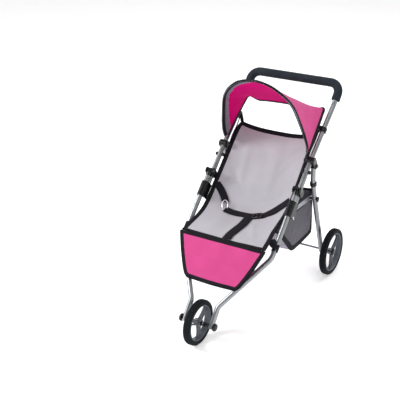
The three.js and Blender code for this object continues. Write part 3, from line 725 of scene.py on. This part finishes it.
for name in ("hinge_block", "seat_clip", "leg_pivot"):
    for side, _ in SIDES:
        target = ZINC if name == "leg_pivot" else BLACK
        frame["nodes"][f"{name}_{side}"].material_slots[0].material = target

# ---------------------------------------------------------------- front frame
for side, sign in SIDES:
    axle_end = np.array((sign * FORK_X, FRONT_HUB[1], FRONT_HUB[2]))
    fork = np.array((sign * FORK_BEND[0], *FORK_BEND[1:]))
    tip = axle_end + (axle_end - fork) / np.linalg.norm(axle_end - fork) * 8
    line = rounded([tip, fork, (sign * KNEE[0], *KNEE[1:]), on_frame(2, 0, sign * FRAME_X)], [25, 45], 9)
    tube(f"front_tube_{side}_v", line, TUBE_R, CHROME, "front_frame", "tube", [f"front_tube_{side}"])

    cap = [(-18, 8.45), (-17.6, 8.6), (0, 8.6)]
    cap += [(8.6 * math.sin(a), 8.6 * math.cos(a)) for a in np.linspace(0.15, 1.5, 9)]
    stations = [on_frame(6 + s, 0, sign * FRAME_X) for s, _ in cap]
    verts, faces, uvs = swept(stations, [circle(max(r, 0.05), 32) for _, r in cap])
    obj = piece(f"front_cap_{side}_v", verts, faces, BLACK_SMOOTH, "front_frame", "black_plastic",
                [f"front_cap_{side}"], uvs)
    obj.data.set_sharp_from_angle(angle=math.radians(50))

    spacer = [(3.35, 9.7), (5.6, 9.7), (6.0, 10.2), (6.0, 34.5), (5.6, 35.0), (3.35, 35.0)]
    turned_node(f"fork_spacer_{side}", spacer, FRONT_HUB, sign, "front_frame")
    nut = [(0, 59.0), (4.5, 58.9), (7.8, 58.3), (10.2, 56.9), (11.0, 55.0), (11.0, 51.6), (10.5, 50.9),
           (3.35, 50.9), (3.35, 56.4), (0, 56.4)]
    turned_node(f"fork_cap_{side}", nut, FRONT_HUB, sign, "front_frame")



def axle(name, half, hub, body):
    rod = [(0, -half), (2.6, -half), (3, 0.5 - half), (3, half - 0.5), (2.6, half), (0, half)]
    turned(f"{name}_v", rod, hub, 1, ZINC, body, "steel", [name], 32)


axle("front_axle", 56, FRONT_HUB, "front_frame")
strut_line = [(-106.7, -139, 192.2), (0, -139.2, 192.0), (106.7, -139, 192.2)]
verts, faces, uvs = swept(strut_line, [circle(3, 24)] * 3, (0, 1, 0))
piece("front_strut_v", verts, faces, BLACK_SMOOTH, "front_frame", "black_plastic", ["front_strut"], uvs)


# ---------------------------------------------------------------- lock sleeves
def sleeve_section(r=7.95, lip=3.0):
    """The sleeve's outline in (x, forward), open at the back."""
    pts = [(11 * math.cos(a), 11 * math.sin(a) * 1.02) for a in np.linspace(0, math.pi, 25)]
    pts += [(-11, -8), (-10.6, -12), (-11, -17), (-11, -22.5), (-10, -24.5), (-r, -24.5)]
    lip_angle = math.asin(lip / r)
    for middle, start, end, count in (
        (HANDLE_M, -math.pi / 2, -lip_angle, 10),
        (0, math.pi + lip_angle, 3 * math.pi - lip_angle, 32),
        (HANDLE_M, lip_angle, math.pi / 2, 10),
    ):
        pts += [(r * math.sin(a), middle + r * math.cos(a)) for a in np.linspace(start, end, count)]
    pts += [(r, -24.5), (10, -24.5), (11, -22.5), (11, -17), (10.6, -12), (11, -8)]
    return pts


for side, sign in SIDES:
    section = sleeve_section()
    verts = [on_frame(s, b, sign * FRAME_X + a) for s in (-31, -78) for a, b in section]
    n = len(section)
    faces = []
    faces.append(tuple(range(n)))
    faces.append(tuple(reversed(range(n, 2 * n))))
    faces += [(k + n, (k + 1) % n + n, (k + 1) % n, k) for k in range(n)]
    obj = piece(f"lock_sleeve_{side}_v", verts, faces, BLACK_SMOOTH, f"lock_sleeve_{side}", "black_plastic",
                [f"lock_sleeve_{side}"])
    soften(weld(obj), 1.1, 3, 50)
    # Raised finger ribs round the front of the sleeve, and two bright rivets low on its outer face.
    for i, s in enumerate((-38, -44, -50, -56)):
        arc = [on_frame(s, 11.2 * math.sin(a), sign * FRAME_X + 11.0 * math.cos(a))
               for a in np.linspace(0.5, math.pi - 0.5, 20)]
        verts, faces, uvs = swept(arc, [circle(0.9, 10)] * len(arc), UP_TUBE)
        piece(f"sleeve_rib_{side}_{i}", verts, faces, BLACK_SMOOTH, f"lock_sleeve_{side}",
              "black_plastic", (), uvs)
    for i, (s, m) in enumerate(((-72, -14.5), (-74, -21.0))):
        at = on_frame(s, m, 0)
        head = [(0, 12.9), (1.6, 12.7), (2.5, 12.0), (2.7, 11.2), (2.7, 10.6), (0, 10.6)]
        profile = [(r, FRAME_X + x) for r, x in head]
        turned(f"sleeve_rivet_{side}_{i}", profile, at, sign, RING_METAL, f"lock_sleeve_{side}",
               "black_plastic", (), 24)

# ---------------------------------------------------------------- rear legs
for side, sign in SIDES:
    line = rounded([(sign * x, y, z) for x, y, z in LEG_POINTS], [60, 60], 8)
    tube(f"rear_leg_{side}_v", line, TUBE_R, CHROME, "rear_legs", "tube", [f"rear_leg_{side}"])
    low = np.array((sign * LEG_POINTS[1][0], *LEG_POINTS[1][1:]), float)
    high = np.array((sign * LEG_POINTS[2][0], *LEG_POINTS[2][1:]), float)
    a, b = low + (high - low) * 0.38, low + (high - low) * 0.66
    d = (b - a) / np.linalg.norm(b - a)
    ring = [(0.0, 8.0), (0.05, 9.6), (0.8, 10.4), (3.5, 10.4), (4.2, 9.7), (7.0, 9.7), (7.7, 10.4),
            (10.6, 10.4), (11.4, 9.6), (11.45, 8.0)]
    span = float(np.linalg.norm(b - a)) / 11.45
    verts, faces, uvs = swept([a + d * s * span for s, _ in ring], [circle(r, 32) for _, r in ring])
    piece(f"leg_collar_{side}_v", verts, faces, BLACK_SMOOTH, "rear_legs", "black_plastic",
          [f"leg_collar_{side}"], uvs)
    spacer = [(3.35, 143.2), (6.5, 143.2), (7.0, 143.8), (6.4, 150), (6.4, 154), (7.0, 160.1), (6.5, 160.7),
              (3.35, 160.7)]
    turned_node(f"rear_spacer_{side}", spacer, REAR_HUB, sign, "rear_legs")
    nut = [(0, 181.5), (4.5, 181.4), (7.8, 180.9), (10.2, 179.6), (11, 177.9), (11, 174.4), (10.6, 174),
           (3.35, 174), (3.35, 179.3), (0, 179.3)]
    turned_node(f"rear_cap_{side}", nut, REAR_HUB, sign, "rear_legs")
    rivet = [(0, 124.2), (3, 124.3), (4, 125), (4, 126.7), (2.5, 126.7), (2.5, 130.3), (4, 130.3), (4, 135.9),
             (2.5, 135.9), (2.5, 152.7), (8.6, 152.7), (9, 153.3), (9, 155.4), (8.3, 156.3), (7.0, 156.6),
             (6.2, 156.3), (5.6, 157.2), (3.2, 157.9), (0, 158)]
    turned_node(f"strip_rivet_{side}", rivet, STRIP_PIVOT, sign, "rear_legs")
    frame["nodes"][f"basket_strip_{side}"].material_slots[0].material = STRIP_METAL
axle("rear_axle", 179, REAR_HUB, "rear_legs")

# ---------------------------------------------------------------- wheels
TREAD_PITCHES = 44
TREAD_STEPS = 8
TYRE_HALF = 11.0
SPOKE_PAIRS = 3
SPOKE_SECTION = ((1, -0.55), (1, 0.55), (0.6, 1), (-0.6, 1), (-1, 0.55), (-1, -0.55), (-0.6, -1), (0.6, -1))


def tyre(name, radius, hub, body, node):
    """A tyre with a groove round its middle and staggered tread blocks on each shoulder."""
    w = TYRE_HALF
    side = [
        (radius - 13, w - 2.2), (radius - 10.5, w - 0.9), (radius - 8, w), (radius - 5.0, w - 0.4),
        (radius - 2.6, w - 1.5), (radius - 1.0, w - 3.0), (radius - 0.2, w - 4.8), (radius, w - 6.6),
        (radius, 3.0), (radius, 1.2), (radius, 0.6),
    ]
    profile = side + [(r, -x) for r, x in reversed(side)]
    segments = TREAD_PITCHES * TREAD_STEPS
    verts = []
    for k in range(segments):
        a = 2 * math.pi * k / segments
        for r, x in profile:
            offset = 0 if x > 0 else TREAD_STEPS // 2
            groove = (k - offset) % TREAD_STEPS in (0, 1)
            cut = 1.5 if groove and r > radius - 3.0 and abs(x) > 1.0 else 0.0
            if abs(x) < 0.8:
                cut = 1.3
            depth = r - cut
            verts.append((hub[0] + x, hub[1] + depth * math.cos(a), hub[2] + depth * math.sin(a)))
    faces = ring_faces(segments, len(profile), closed=True)
    obj = weld(piece(f"{name}_tyre_v", verts, faces, TYRE, body, "tyre", [node]))
    obj.data.set_sharp_from_angle(angle=math.radians(38))


def spoke(rim_r, outward, across, turn, hub):
    """One of a pair of spokes, from the hub out to the rim."""
    verts = []
    for f in np.linspace(0, 1, 9):
        z = 8.5 + f * (rim_r - 3.8 - 8.5)
        half = 1.9 + 1.0 * abs(2 * f - 1) ** 2.2
        deep = 3.4 + 0.8 * abs(2 * f - 1) ** 2
        y = across * (0.86 + 0.14 * f)
        for c, k in SPOKE_SECTION:
            p = Vector((outward * (0.8 - 1.6 * f + deep * c), y + half * k, z))
            verts.append(tuple(turn @ p + Vector(hub)))
    return verts, ring_faces(9, len(SPOKE_SECTION))


def wheel(name, radius, hub, hub_from, hub_to, body, outward):
    tyre(name, radius, hub, body, f"{name}_tyre")
    rim_r = radius - 13.4
    ring = [(0, 8.4), (0.8, 9.2), (1.9, 9.2), (2.8, 8.2), (3.6, 5.0), (4.8, 2.5), (5.2, 0.5), (5.0, -7.9),
            (4.2, -8.8), (0.8, -8.8), (0, -8.2)]
    ring = [(rim_r - r, outward * x) for r, x in ring]
    boss = [
        (3.35, hub_from), (9.6, hub_from), (10.5, hub_from + 0.9), (10.5, hub_to - 4), (11.6, hub_to - 2.6),
        (11.6, hub_to - 0.6), (11.0, hub_to), (3.35, hub_to),
    ]
    parts = [spun(ring, 96, hub), spun([(r, outward * x) for r, x in boss], 48, hub)]
    for i in range(SPOKE_PAIRS):
        turn = Matrix.Rotation(2 * math.pi * i / SPOKE_PAIRS + math.pi, 4, "X")
        parts += [spoke(rim_r, outward, across, turn, hub) for across in (-6.2, 6.2)]
    rim = weld(piece(f"{name}_rim_v", *join(parts), RIM_GREY, body, "rim", [f"{name}_rim"]))
    rim.data.set_sharp_from_angle(angle=math.radians(40))


wheel("front", 65, FRONT_HUB, -9.3, 9.3, "front_wheel", 1)
wheel("rear_left", 75, REAR_HUB, -9.5, 3, "rear_wheel_left", 1)
wheel("rear_right", 75, REAR_HUB * (-1, 1, 1), -9.5, 3, "rear_wheel_right", -1)

# ---------------------------------------------------------------- seat
# Matched points down the seat: the side edge (x, y, z) and the middle (y, z).
SEAT_EDGE = [
    (124, 207, 477), (128, 188, 469), (130, 168, 452), (131, 146, 432), (131, 123, 410), (131, 97, 386),
    (131, 71, 362), (131, 44, 338), (130, 20, 316), (129, -4, 299), (127, -28, 287), (127, -58, 277),
    (131, -90, 267), (134, -127, 257),
]
SEAT_MIDDLE = [
    (201, 468), (186, 450), (166, 427), (146, 404), (126, 381), (107, 359), (88, 338), (70, 318), (53, 300),
    (37, 285), (14, 277), (-22, 271), (-72, 264), (-131, 256.5),
]
SEAT_ROWS = 79
SEAT_COLS = 49
SEAT_SPAN = (125, 460)  # half the width and the whole length that the folds are laid out on
FOLD_STRENGTH = 1.5

# Soft folds in the cloth, each from (u, v) to (u, v), with its height and width in millimetres.
SEAT_FOLDS = [
    (-0.62, 0.05, -0.48, 0.52, 3.0, 13), (0.98, 0.04, 0.25, 0.27, -2.4, 8), (0.98, 0.10, 0.35, 0.36, -2.0, 7),
    (-0.95, 0.30, -0.35, 0.50, -1.8, 9), (0.95, 0.46, 0.15, 0.52, -1.6, 8), (-0.9, 0.60, -0.1, 0.66, -2.2, 7),
    (0.9, 0.60, 0.1, 0.67, -2.2, 7), (-0.8, 0.98, -0.2, 0.76, 1.6, 9), (0.7, 0.98, 0.35, 0.74, 1.6, 9),
    (0.1, 0.10, 0.3, 0.50, 1.6, 20),
]


def seat_grid():
    edge = spline(SEAT_EDGE, SEAT_ROWS)
    mid = spline([(0, y, z) for y, z in SEAT_MIDDLE], SEAT_ROWS)
    run = np.gradient(mid, axis=0)
    rows = []
    for i in range(SEAT_ROWS):
        v = i / (SEAT_ROWS - 1)
        out = np.array((0, run[i][2], -run[i][1]))
        out /= np.linalg.norm(out)
        flat = 2.6 + 1.6 * math.sin(math.pi * min(v / 0.7, 1.0))
        row = []
        for j in range(SEAT_COLS):
            u = 2 * j / (SEAT_COLS - 1) - 1
            side = abs(u) ** flat
            sway = 1 - 0.10 * math.sin(math.pi * v) * (abs(u) ** 1.5) * (1 - abs(u)) * 4
            p = mid[i] + (edge[i] - mid[i]) * side
            p = np.array((edge[i][0] * u * sway, p[1], p[2]))
            keep = (1 - u * u) ** 0.5
            wrinkle = 1.6 * bumpy((p[0] * 0.55, p[1] * 0.3, p[2] * 0.3), 0.05, 3.1)
            folds = 0.0
            for u0, v0, u1, v1, high, wide in SEAT_FOLDS:
                du, dv = (u1 - u0) * SEAT_SPAN[0], (v1 - v0) * SEAT_SPAN[1]
                long = math.hypot(du, dv)
                a, b = (u - u0) * SEAT_SPAN[0], (v - v0) * SEAT_SPAN[1]
                along, off = (a * du + b * dv) / long, (a * dv - b * du) / long
                reach = min(max(along / long, 0.0), 1.0)
                shape = math.sin(math.pi * reach) ** 0.7 * math.exp(-((off / wide) ** 2))
                folds += FOLD_STRENGTH * high * shape
            pull = 1.1 * math.sin((p[0] + 0.6 * p[2]) * 0.11) * abs(u) ** 1.5
            pull *= math.exp(-(((v - 0.62) / 0.12) ** 2))
            p += out * (wrinkle + pull + folds) * keep
            row.append(p)
        rows.append(row)
    return np.array(rows)


seat_points = seat_grid()


def cross_fold(obj):
    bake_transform(obj)
    return obj


seat = cloth("seat_fabric_v", seat_points, CLOTH, LILAC, None, "seat_fabric", ["seat_back", "seat_base"])
cross_fold(seat)
seat_edges = [
    cross_fold(bind(f"seat_binding_{label}", seat_points, side, width, thick, None, "seat_fabric"))
    for label, side, width, thick in (
        ("top", "top", 13, 3.6), ("front", "bottom", 9, 3.8),
        ("right", "first", 12, 3.8), ("left", "last", 12, 3.8),
    )
]

# ---------------------------------------------------------------- seat corner straps and lap belt
for side, sign in SIDES:
    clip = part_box(f"seat_clip_{side}")
    low, high = np.array(clip[0]) / MM, np.array(clip[1]) / MM
    eye = (sign * 131.0, (low[1] + high[1]) / 2, (low[2] + high[2]) / 2 + 3)
    loop = [eye, (sign * 131.0, eye[1] - 12, eye[2] - 13), (sign * 130.5, eye[1] - 30, eye[2] - 30),
            (sign * 130.5, 158, 449), (sign * 130.0, 140, 430)]
    strap(f"seat_strap_{side}", loop, [(sign, -0.2, 0.3)] * len(loop), 10, 2.2, "handle_frame")
    tie = [eye, (sign * 127, 210, 487), (sign * 122, 205, 474)]
    strap(f"seat_tie_{side}", tie, [(0.2 * sign, -0.7, 0.6)] * 3, 12, 2.0, "handle_frame", samples=20)

seat_flat = seat_points.reshape(-1, 3)
seat_up = grid_normals(seat_points).reshape(-1, 3)
if seat_up[len(seat_up) // 2][2] < 0:
    seat_up = -seat_up


def on_seat(x, y, lift):
    """A point above the seat cloth at (x, y), and the cloth's normal there."""
    near = np.exp(-(((seat_flat[:, 0] - x) ** 2 + (seat_flat[:, 1] - y) ** 2) / (2 * 5.0**2)))
    near /= near.sum()
    normal = near @ seat_up
    normal /= np.linalg.norm(normal)
    return np.array((x, y, near @ seat_flat[:, 2])) + normal * lift, normal


def seat_strap(name, plan, width, replaces, samples):
    """Webbing laid over the seat along a plan of (x, y, lift)."""
    points, normals = zip(*(on_seat(*p) for p in spline(plan, 24)))
    return cross_fold(strap(name, points, normals, width, 2.0, None, replaces, samples))


LAP_PLAN = [(-66, -3, 4.5), (-46, -3, 3.0), (-10, 1, 2.8), (18, 4, 2.8), (48, 9, 3.0), (68, 24, 3.2),
            (90, 36, 3.2), (110, 41, 3.0), (123, 44, 3.0)]
seat_strap("lap_belt_v", LAP_PLAN, 25, ["lap_belt"], 90)
CROTCH_PLAN = [(17, 10, 4.8), (17, -36, 3.2), (13, -72, 2.8), (9, -98, 2.8), (10, -123, 3.4)]
seat_strap("crotch_strap_v", CROTCH_PLAN, 27, ["crotch_strap"], 60)
STUB_PLAN = [(-79, 22, 7.0), (-89, 34, 4.4), (-105, 43, 3.2), (-123, 47, 3.0)]
seat_strap("lap_belt_stub", STUB_PLAN, 22, (), 40)


def oval_ring(centre, right, up, a, b, wire):
    """Points and faces of an oval ring of round wire."""
    normal = np.cross(right, up)
    verts = []
    for t in np.linspace(0, 2 * math.pi, 40, endpoint=False):
        out = right * a * math.cos(t) + up * b * math.sin(t)
        p = centre + out
        out = out / np.linalg.norm(out)
        verts += [p + out * x + normal * y for x, y in circle(wire, 14)]
    return verts, ring_faces(40, 14, closed=True)


ring_up = np.array((-0.35, 0.62, 0.70))
ring_up /= np.linalg.norm(ring_up)
ring_right = np.cross(ring_up, np.array((0.15, -0.75, 0.65)))
ring_right /= np.linalg.norm(ring_right)
ring_at = on_seat(-73, 8, 7.5)[0]
verts, faces = oval_ring(ring_at, ring_right, ring_up, 8.5, 15.5, 1.6)
cross_fold(weld(piece("belt_ring_v", verts, faces, RING_METAL, None, "ring", ["belt_ring"])))

slide_parts = [
    prism([(y0, 0), (y1, 0), (y1, 2.6), (y0, 2.6)], x0, x1)
    for x0, x1, y0, y1 in (
        (8, 36, -13, -10), (8, 36, 12, 15), (8, 11.5, -10, 12), (20.2, 23.2, -10, 12), (32.5, 36, -10, 12),
    )
]
verts, faces = join(slide_parts)
slide_at, slide_up = on_seat(38, 6, 4.4)
tilt = Vector((0, 0, 1)).rotation_difference(Vector(slide_up)).to_matrix().to_4x4()
tilt = Matrix.Translation(slide_at) @ tilt @ Matrix.Rotation(math.radians(22), 4, "Z")
tilt @= Matrix.Translation((-22, -1, 0))
verts = [tuple(tilt @ Vector(v)) for v in verts]
cross_fold(piece("belt_slide_v", verts, faces, BLACK_SMOOTH, None, "black_plastic", ["belt_slide"]))

# ---------------------------------------------------------------- leg panel
PANEL_LEVELS = ((0, 137), (0.12, 133), (0.42, 119), (0.7, 104), (0.86, 94), (0.95, 87), (1.0, 78))
PANEL_TOP = np.array((0, -131.5, 256.0))
PANEL_BOTTOM = np.array((0, -198.0, 152.0))


def panel_grid(rows=45, cols=61):
    levels = np.array(PANEL_LEVELS)
    down = PANEL_BOTTOM - PANEL_TOP
    out = np.array((0, -0.84, 0.54))
    grid = []
    for i in range(rows):
        f = i / (rows - 1)
        half = float(np.interp(f, levels[:, 0], levels[:, 1]))
        row = []
        for j in range(cols):
            u = 2 * j / (cols - 1) - 1
            drop = 2.5 * (1 - u * u) * f**3
            p = PANEL_TOP + down * f + down / np.linalg.norm(down) * drop
            p = p + np.array((half * u, 0, 0))
            belly = 3.2 * math.sin(math.pi * f) * (1 - abs(u) ** 2.5)
            fold_line = -1.6 * math.exp(-(((f - 0.47 - 0.05 * u) / 0.03) ** 2)) * (1 - abs(u) ** 4)
            gather = 1.5 * math.sin(p[0] * 0.09 + 5 * f) * math.exp(-((f - 0.1) / 0.2) ** 2)
            wrinkle = (2.6 * bumpy(p, 0.022, 7.7) + gather) * (1 - u**4)
            row.append(p + out * (belly + fold_line + wrinkle))
        grid.append(row)
    return np.array(grid)


panel_points = panel_grid()
panel = cloth("leg_panel_v", panel_points, CLOTH, PINK, "front_frame", "pink_fabric", ["leg_panel"])
panel_edges = [
    bind(f"panel_binding_{label}", panel_points, side, width, 4.0, "front_frame", "pink_fabric")
    for label, side, width in (
        ("top", "top", 8), ("bottom", "bottom", 11), ("right", "first", 11), ("left", "last", 11),
    )
]

# ---------------------------------------------------------------- cloth ties round the tubes
def tube_tie(name, centre, along, target, width, body):
    """A webbing loop round a tube, stitched to a cloth edge at target."""
    centre, along, target = (np.array(a, float) for a in (centre, along, target))
    along /= np.linalg.norm(along)
    out = target - centre
    out -= along * (out @ along)
    out /= np.linalg.norm(out)
    side = np.cross(along, out)
    r = TUBE_R + 1.3
    path, face = [target], [side]
    for a in np.linspace(0.35 * math.pi, 2.25 * math.pi, 18):
        radial = out * math.cos(a) + side * math.sin(a)
        path.append(centre + radial * r)
        face.append(radial)
    path.append(target + side * 1.5)
    face.append(side)
    strap(name, path, face, width, 1.5, body, samples=64)


for side, sign in SIDES:
    y = -84
    at = HINGE + UP_TUBE * ((y - HINGE[1]) / UP_TUBE[1])
    at[0] = sign * FRAME_X
    tube_tie(f"seat_side_tie_{side}", at, UP_TUBE, (sign * 130, y, 268), 22, "front_frame")

# ---------------------------------------------------------------- canopy
HOOP_OUTLINE = [
    (129.5, -3), (129.5, 11), (132, 19), (136, 29), (138, 42), (137, 60), (134, 80), (129.5, 105), (123.5, 132),
    (117.5, 158), (110, 179), (97, 200), (78, 219), (57, 234), (30, 245), (0, 249),
]
half_hoop = [on_hoop(h, x) for x, h in HOOP_OUTLINE]
hoop_line = spline([*half_hoop, *mirrored(half_hoop[:-1][::-1])], 110)
tube("canopy_hoop_v", list(hoop_line), 2.0, ZINC, "canopy", "wire", ["canopy_hoop"], 16, 0.4)
for side, _ in SIDES:
    frame["nodes"][f"canopy_boss_{side}"].material_slots[0].material = BLACK

COVER_FRONT = [
    (136, 30), (138, 46), (136.5, 66), (132.5, 90), (127, 115), (121, 140), (115, 163), (107, 184), (90, 208),
    (62, 232), (31, 245), (0, 249),
]
COVER_REAR = [
    (135, 141, 450), (134.5, 153, 461), (134, 168, 474), (133.5, 184, 488), (133, 201, 502), (132, 220, 517),
    (130.5, 239, 532), (126, 257, 545), (98, 262, 551), (64, 263, 554), (31, 263, 555.5), (0, 263, 556),
]
COVER_ROWS = 91
COVER_COLS = 29
HEM_DROP = 18.0  # how far the roof's back hem hangs


def smooth(t):
    t = min(max(t, 0.0), 1.0)
    return t * t * (3 - 2 * t)


def cover_grid():
    front_half = [on_hoop(h, x, 1.0) for x, h in COVER_FRONT]
    rear_half = [np.array(p, float) for p in COVER_REAR]
    front = [*front_half, *[p * (-1, 1, 1) for p in front_half[:-1][::-1]]]
    rear = [*rear_half, *[p * (-1, 1, 1) for p in rear_half[:-1][::-1]]]
    # The matched points keep their numbers, so that the corner meets the corner.
    t = np.linspace(0, len(front) - 1, COVER_ROWS)

    def through(points):
        dense = catmull(points, 16)
        return resampled(dense, np.arange(len(dense)) / 16, t)

    f, r = through(front), through(rear)
    inside = np.array((0, 190.0, 480.0))
    grid = np.zeros((COVER_ROWS, COVER_COLS, 3))
    for i in range(COVER_ROWS):
        s = i / (COVER_ROWS - 1)
        roof = math.sin(math.pi * s) ** 1.5
        for j in range(COVER_COLS):
            u = j / (COVER_COLS - 1)
            p = f[i] + (r[i] - f[i]) * u
            inward = inside - p
            inward /= np.linalg.norm(inward)
            sag = 6.5 * math.sin(math.pi * u) * (0.25 + 0.75 * roof)
            ripple = 0.9 * bumpy((p[0] * 0.4, p[1], p[2] * 0.4), 0.035, 11.3) * math.sin(math.pi * u)
            flap = HEM_DROP * max((u - 0.5) / 0.5, 0.0) ** 2 * smooth((0.185 - abs(s - 0.5)) / 0.06)
            grid[i, j] = p + inward * (sag + ripple) - np.array((0, 0, flap))
    return grid


cover_points = cover_grid()
outward_is_front = grid_normals(cover_points)[COVER_ROWS // 2, COVER_COLS // 2][2] > 0
cover_depth = np.linalg.norm(cover_points[:, -1] - cover_points[:, 0], axis=1)
low_on_side = np.abs(np.linspace(-1, 1, COVER_ROWS)) ** 0.9
lining = np.clip((15 + 28 * low_on_side) / cover_depth, 0, 0.66)


def cover_paint(i, j, side):
    outside = side > 0 if outward_is_front else side < 0
    if outside:
        return 0
    # Inside faces get the pink with painted shade and light through the cloth, or the grey lining near the
    # front edge.
    return 2 if lining[min(round(i * (COVER_ROWS - 1)), COVER_ROWS - 1)] > j else 1


def cross_canopy(obj):
    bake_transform(obj)
    return obj


canopy = cloth("canopy_cover_v", cover_points, CLOTH, [PINK, PINK_INSIDE_PAINTED_SHADE, LINING], None, "pink_fabric",
               ["canopy_cover"], cover_paint)
cross_canopy(canopy)
canopy_edges = [
    cross_canopy(bind(f"canopy_binding_{label}", cover_points, side, width, thick, None, "pink_fabric",
                      outset=outset))
    for label, side, width, thick, outset in (("front", "first", 10, 6.4, 3.0), ("rear", "last", 9, 5.6, 2.4))
]

# ---------------------------------------------------------------- basket
BASKET_HALF = 123.0
BASKET_CLOTH = 1.6
BASKET_PATH = [
    (-18, 257), (-6, 238), (12, 215), (31, 193), (44, 177), (56, 166), (72, 160), (100, 158.5), (135, 158),
    (170, 158.5), (190, 160), (196, 168), (197, 195), (197, 230), (196, 265), (194, 296), (193, 309),
]
BASKET_TOP = [
    (-18, 257), (-4, 265), (12, 272), (30, 277), (48, 280), (66, 282), (84, 283), (102, 284), (120, 284),
    (136, 284), (150, 285), (162, 286), (171, 289), (178, 294), (184, 300), (189, 305), (193, 309),
]
basket_path, basket_top = (catmull([(0, *p) for p in line], 4) for line in (BASKET_PATH, BASKET_TOP))


def basket_strip_grid(cols=41):
    """The strip of cloth that makes the front, the bottom and the back."""
    grid = []
    for i, p in enumerate(basket_path):
        f = i / (len(basket_path) - 1)
        row = []
        for j in range(cols):
            u = 2 * j / (cols - 1) - 1
            keep = 1 - u * u
            sag = np.array((0, 0, -3.0)) * keep * math.sin(math.pi * f)
            out = np.array((0, 2.5 * math.sin(math.pi * max(f - 0.6, 0) / 0.4), 0)) * keep
            dip = np.array((0, 0, -7.0)) * keep * f**14
            ripple = np.array((0, 0, 0.8 * bumpy(p + (u * 80, 0, 0), 0.03, 5.0))) * keep
            row.append(p + np.array((BASKET_HALF * u, 0, 0)) + sag + out + dip + ripple)
        grid.append(row)
    return np.array(grid)


def basket_side_grid(sign, cols=21):
    grid = []
    for low, high in zip(basket_path, basket_top):
        deep = np.linalg.norm(high - low)
        row = []
        for j in range(cols):
            u = j / (cols - 1)
            p = low + (high - low) * u
            bulge = min(deep / 90, 1.0) * 2.8 + 0.7 * bumpy(p, 0.04, 2.0 + sign)
            bulge *= math.sin(math.pi * u) ** 2
            row.append(p + np.array((sign * (BASKET_HALF + bulge), 0, 0)))
        grid.append(row)
    return np.array(grid)


def collapse(obj):
    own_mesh(obj)
    return obj


strip_points = basket_strip_grid()
basket_cloth = cloth("basket_strip_cloth", strip_points, BASKET_CLOTH, FRONT_GREY, "basket_carrier",
                     "basket_fabric", ["basket"])
collapse(basket_cloth)
basket_edges = [
    collapse(bind(f"basket_binding_{label}_top", strip_points, side, 7, 3.0, "basket_carrier", "basket_fabric"))
    for label, side in (("back", "bottom"), ("front", "top"))
]
for side, sign in SIDES:
    points = basket_side_grid(sign)
    side_cloth = cloth(f"basket_side_{side}", points, BASKET_CLOTH, SIDE_GREY, "basket_carrier",
                       "basket_fabric")
    collapse(side_cloth)
    for label, edge_name, width in (("lower", "first", 14), ("upper", "last", 7)):
        edge, inward, normal = border(points, edge_name)
        if label == "lower":
            inward = points[:, 3] - points[:, 0] + np.array((0, 0, 1e-3))
        # The panel comes to a point at both ends, where the tape has no inward direction.
        obj = tape(f"basket_binding_{label}_{side}", edge[1:-1], inward[1:-1], normal[1:-1], width, 3.8,
                   "basket_carrier", "basket_fabric", outset=2.4)
        collapse(obj)

# ---------------------------------------------------------------- stage, light and camera
def floor_material():
    n = Nodes("pale_floor")
    tone = n.blend(n.noise(n.object_coords(), 2.0), srgb(250, 250, 250), srgb(253, 253, 253))
    n.link(tone, "Base Color")
    n.set(Roughness=0.9, Specular_IOR_Level=0.1, Emission_Color=(1.0, 1.0, 1.0, 1.0), Emission_Strength=0.3)
    return n.material


def stage_floor():
    """A round floor that curves up into a low backdrop on every side."""
    profile = [(0.0, 0.0), (1.0, 0.0), (3.0, 0.0), (6.5, 0.0)]
    profile += [(6.5 + 2.5 * math.sin(a), 2.5 - 2.5 * math.cos(a)) for a in np.linspace(0.12, math.pi / 2, 12)]
    profile.append((9.0, 4.5))
    around = 96
    verts = [(r * math.cos(t), r * math.sin(t), z - 0.0002) for r, z in profile[1:]
             for t in np.linspace(0, 2 * math.pi, around, endpoint=False)]
    verts.append((0.0, 0.0, -0.0002))
    faces = []
    for i in range(len(profile) - 2):
        for k in range(around):
            m = (k + 1) % around
            faces.append((i * around + k, (i + 1) * around + k, (i + 1) * around + m, i * around + m))
    faces += [(len(verts) - 1, k, (k + 1) % around) for k in range(around)]
    mesh = bpy.data.meshes.new("floor")
    mesh.from_pydata(verts, [], faces)
    mesh.materials.append(floor_material())
    mesh.shade_smooth()
    obj = bpy.data.objects.new("floor", mesh)
    bpy.context.scene.collection.objects.link(obj)


def area_light(name, location, target, size, power):
    data = bpy.data.lights.new(name, "AREA")
    data.shape = "RECTANGLE"
    data.size, data.size_y = size
    data.energy = power
    obj = bpy.data.objects.new(name, data)
    obj.location = location
    obj.rotation_euler = (Vector(target) - Vector(location)).to_track_quat("-Z", "Y").to_euler()
    bpy.context.scene.collection.objects.link(obj)


stage_floor()
area_light("key", (-2.3, -1.5, 2.2), (0, 0, 0.3), (0.9, 0.9), 78)
area_light("fill", (2.6, -1.4, 1.6), (0, 0, 0.3), (1.6, 2.0), 14)
area_light("top", (0.2, 0.6, 3.0), (0, 0, 0.2), (2.4, 2.4), 30)
area_light("back", (1.2, 2.6, 1.8), (0, 0, 0.4), (2.0, 1.4), 20)

world = bpy.data.worlds.new("studio")
world.use_nodes = True
world.node_tree.nodes["Background"].inputs[0].default_value = (1.0, 1.0, 1.0, 1.0)
world.node_tree.nodes["Background"].inputs[1].default_value = 0.4
bpy.context.scene.world = world
bpy.context.scene.view_settings.view_transform = "Standard"

camera_data = bpy.data.cameras.new("camera")
camera_data.sensor_width = 36
camera_data.lens = 70.7
camera_data.shift_x = -0.1565
camera_data.shift_y = 0.00575
camera = bpy.data.objects.new("camera", camera_data)
camera.location = (1.0078, -1.7685, 1.3150)
camera.rotation_euler = (math.radians(90 - 26.10), 0, math.radians(28.23))
bpy.context.scene.collection.objects.link(camera)
bpy.context.scene.camera = camera
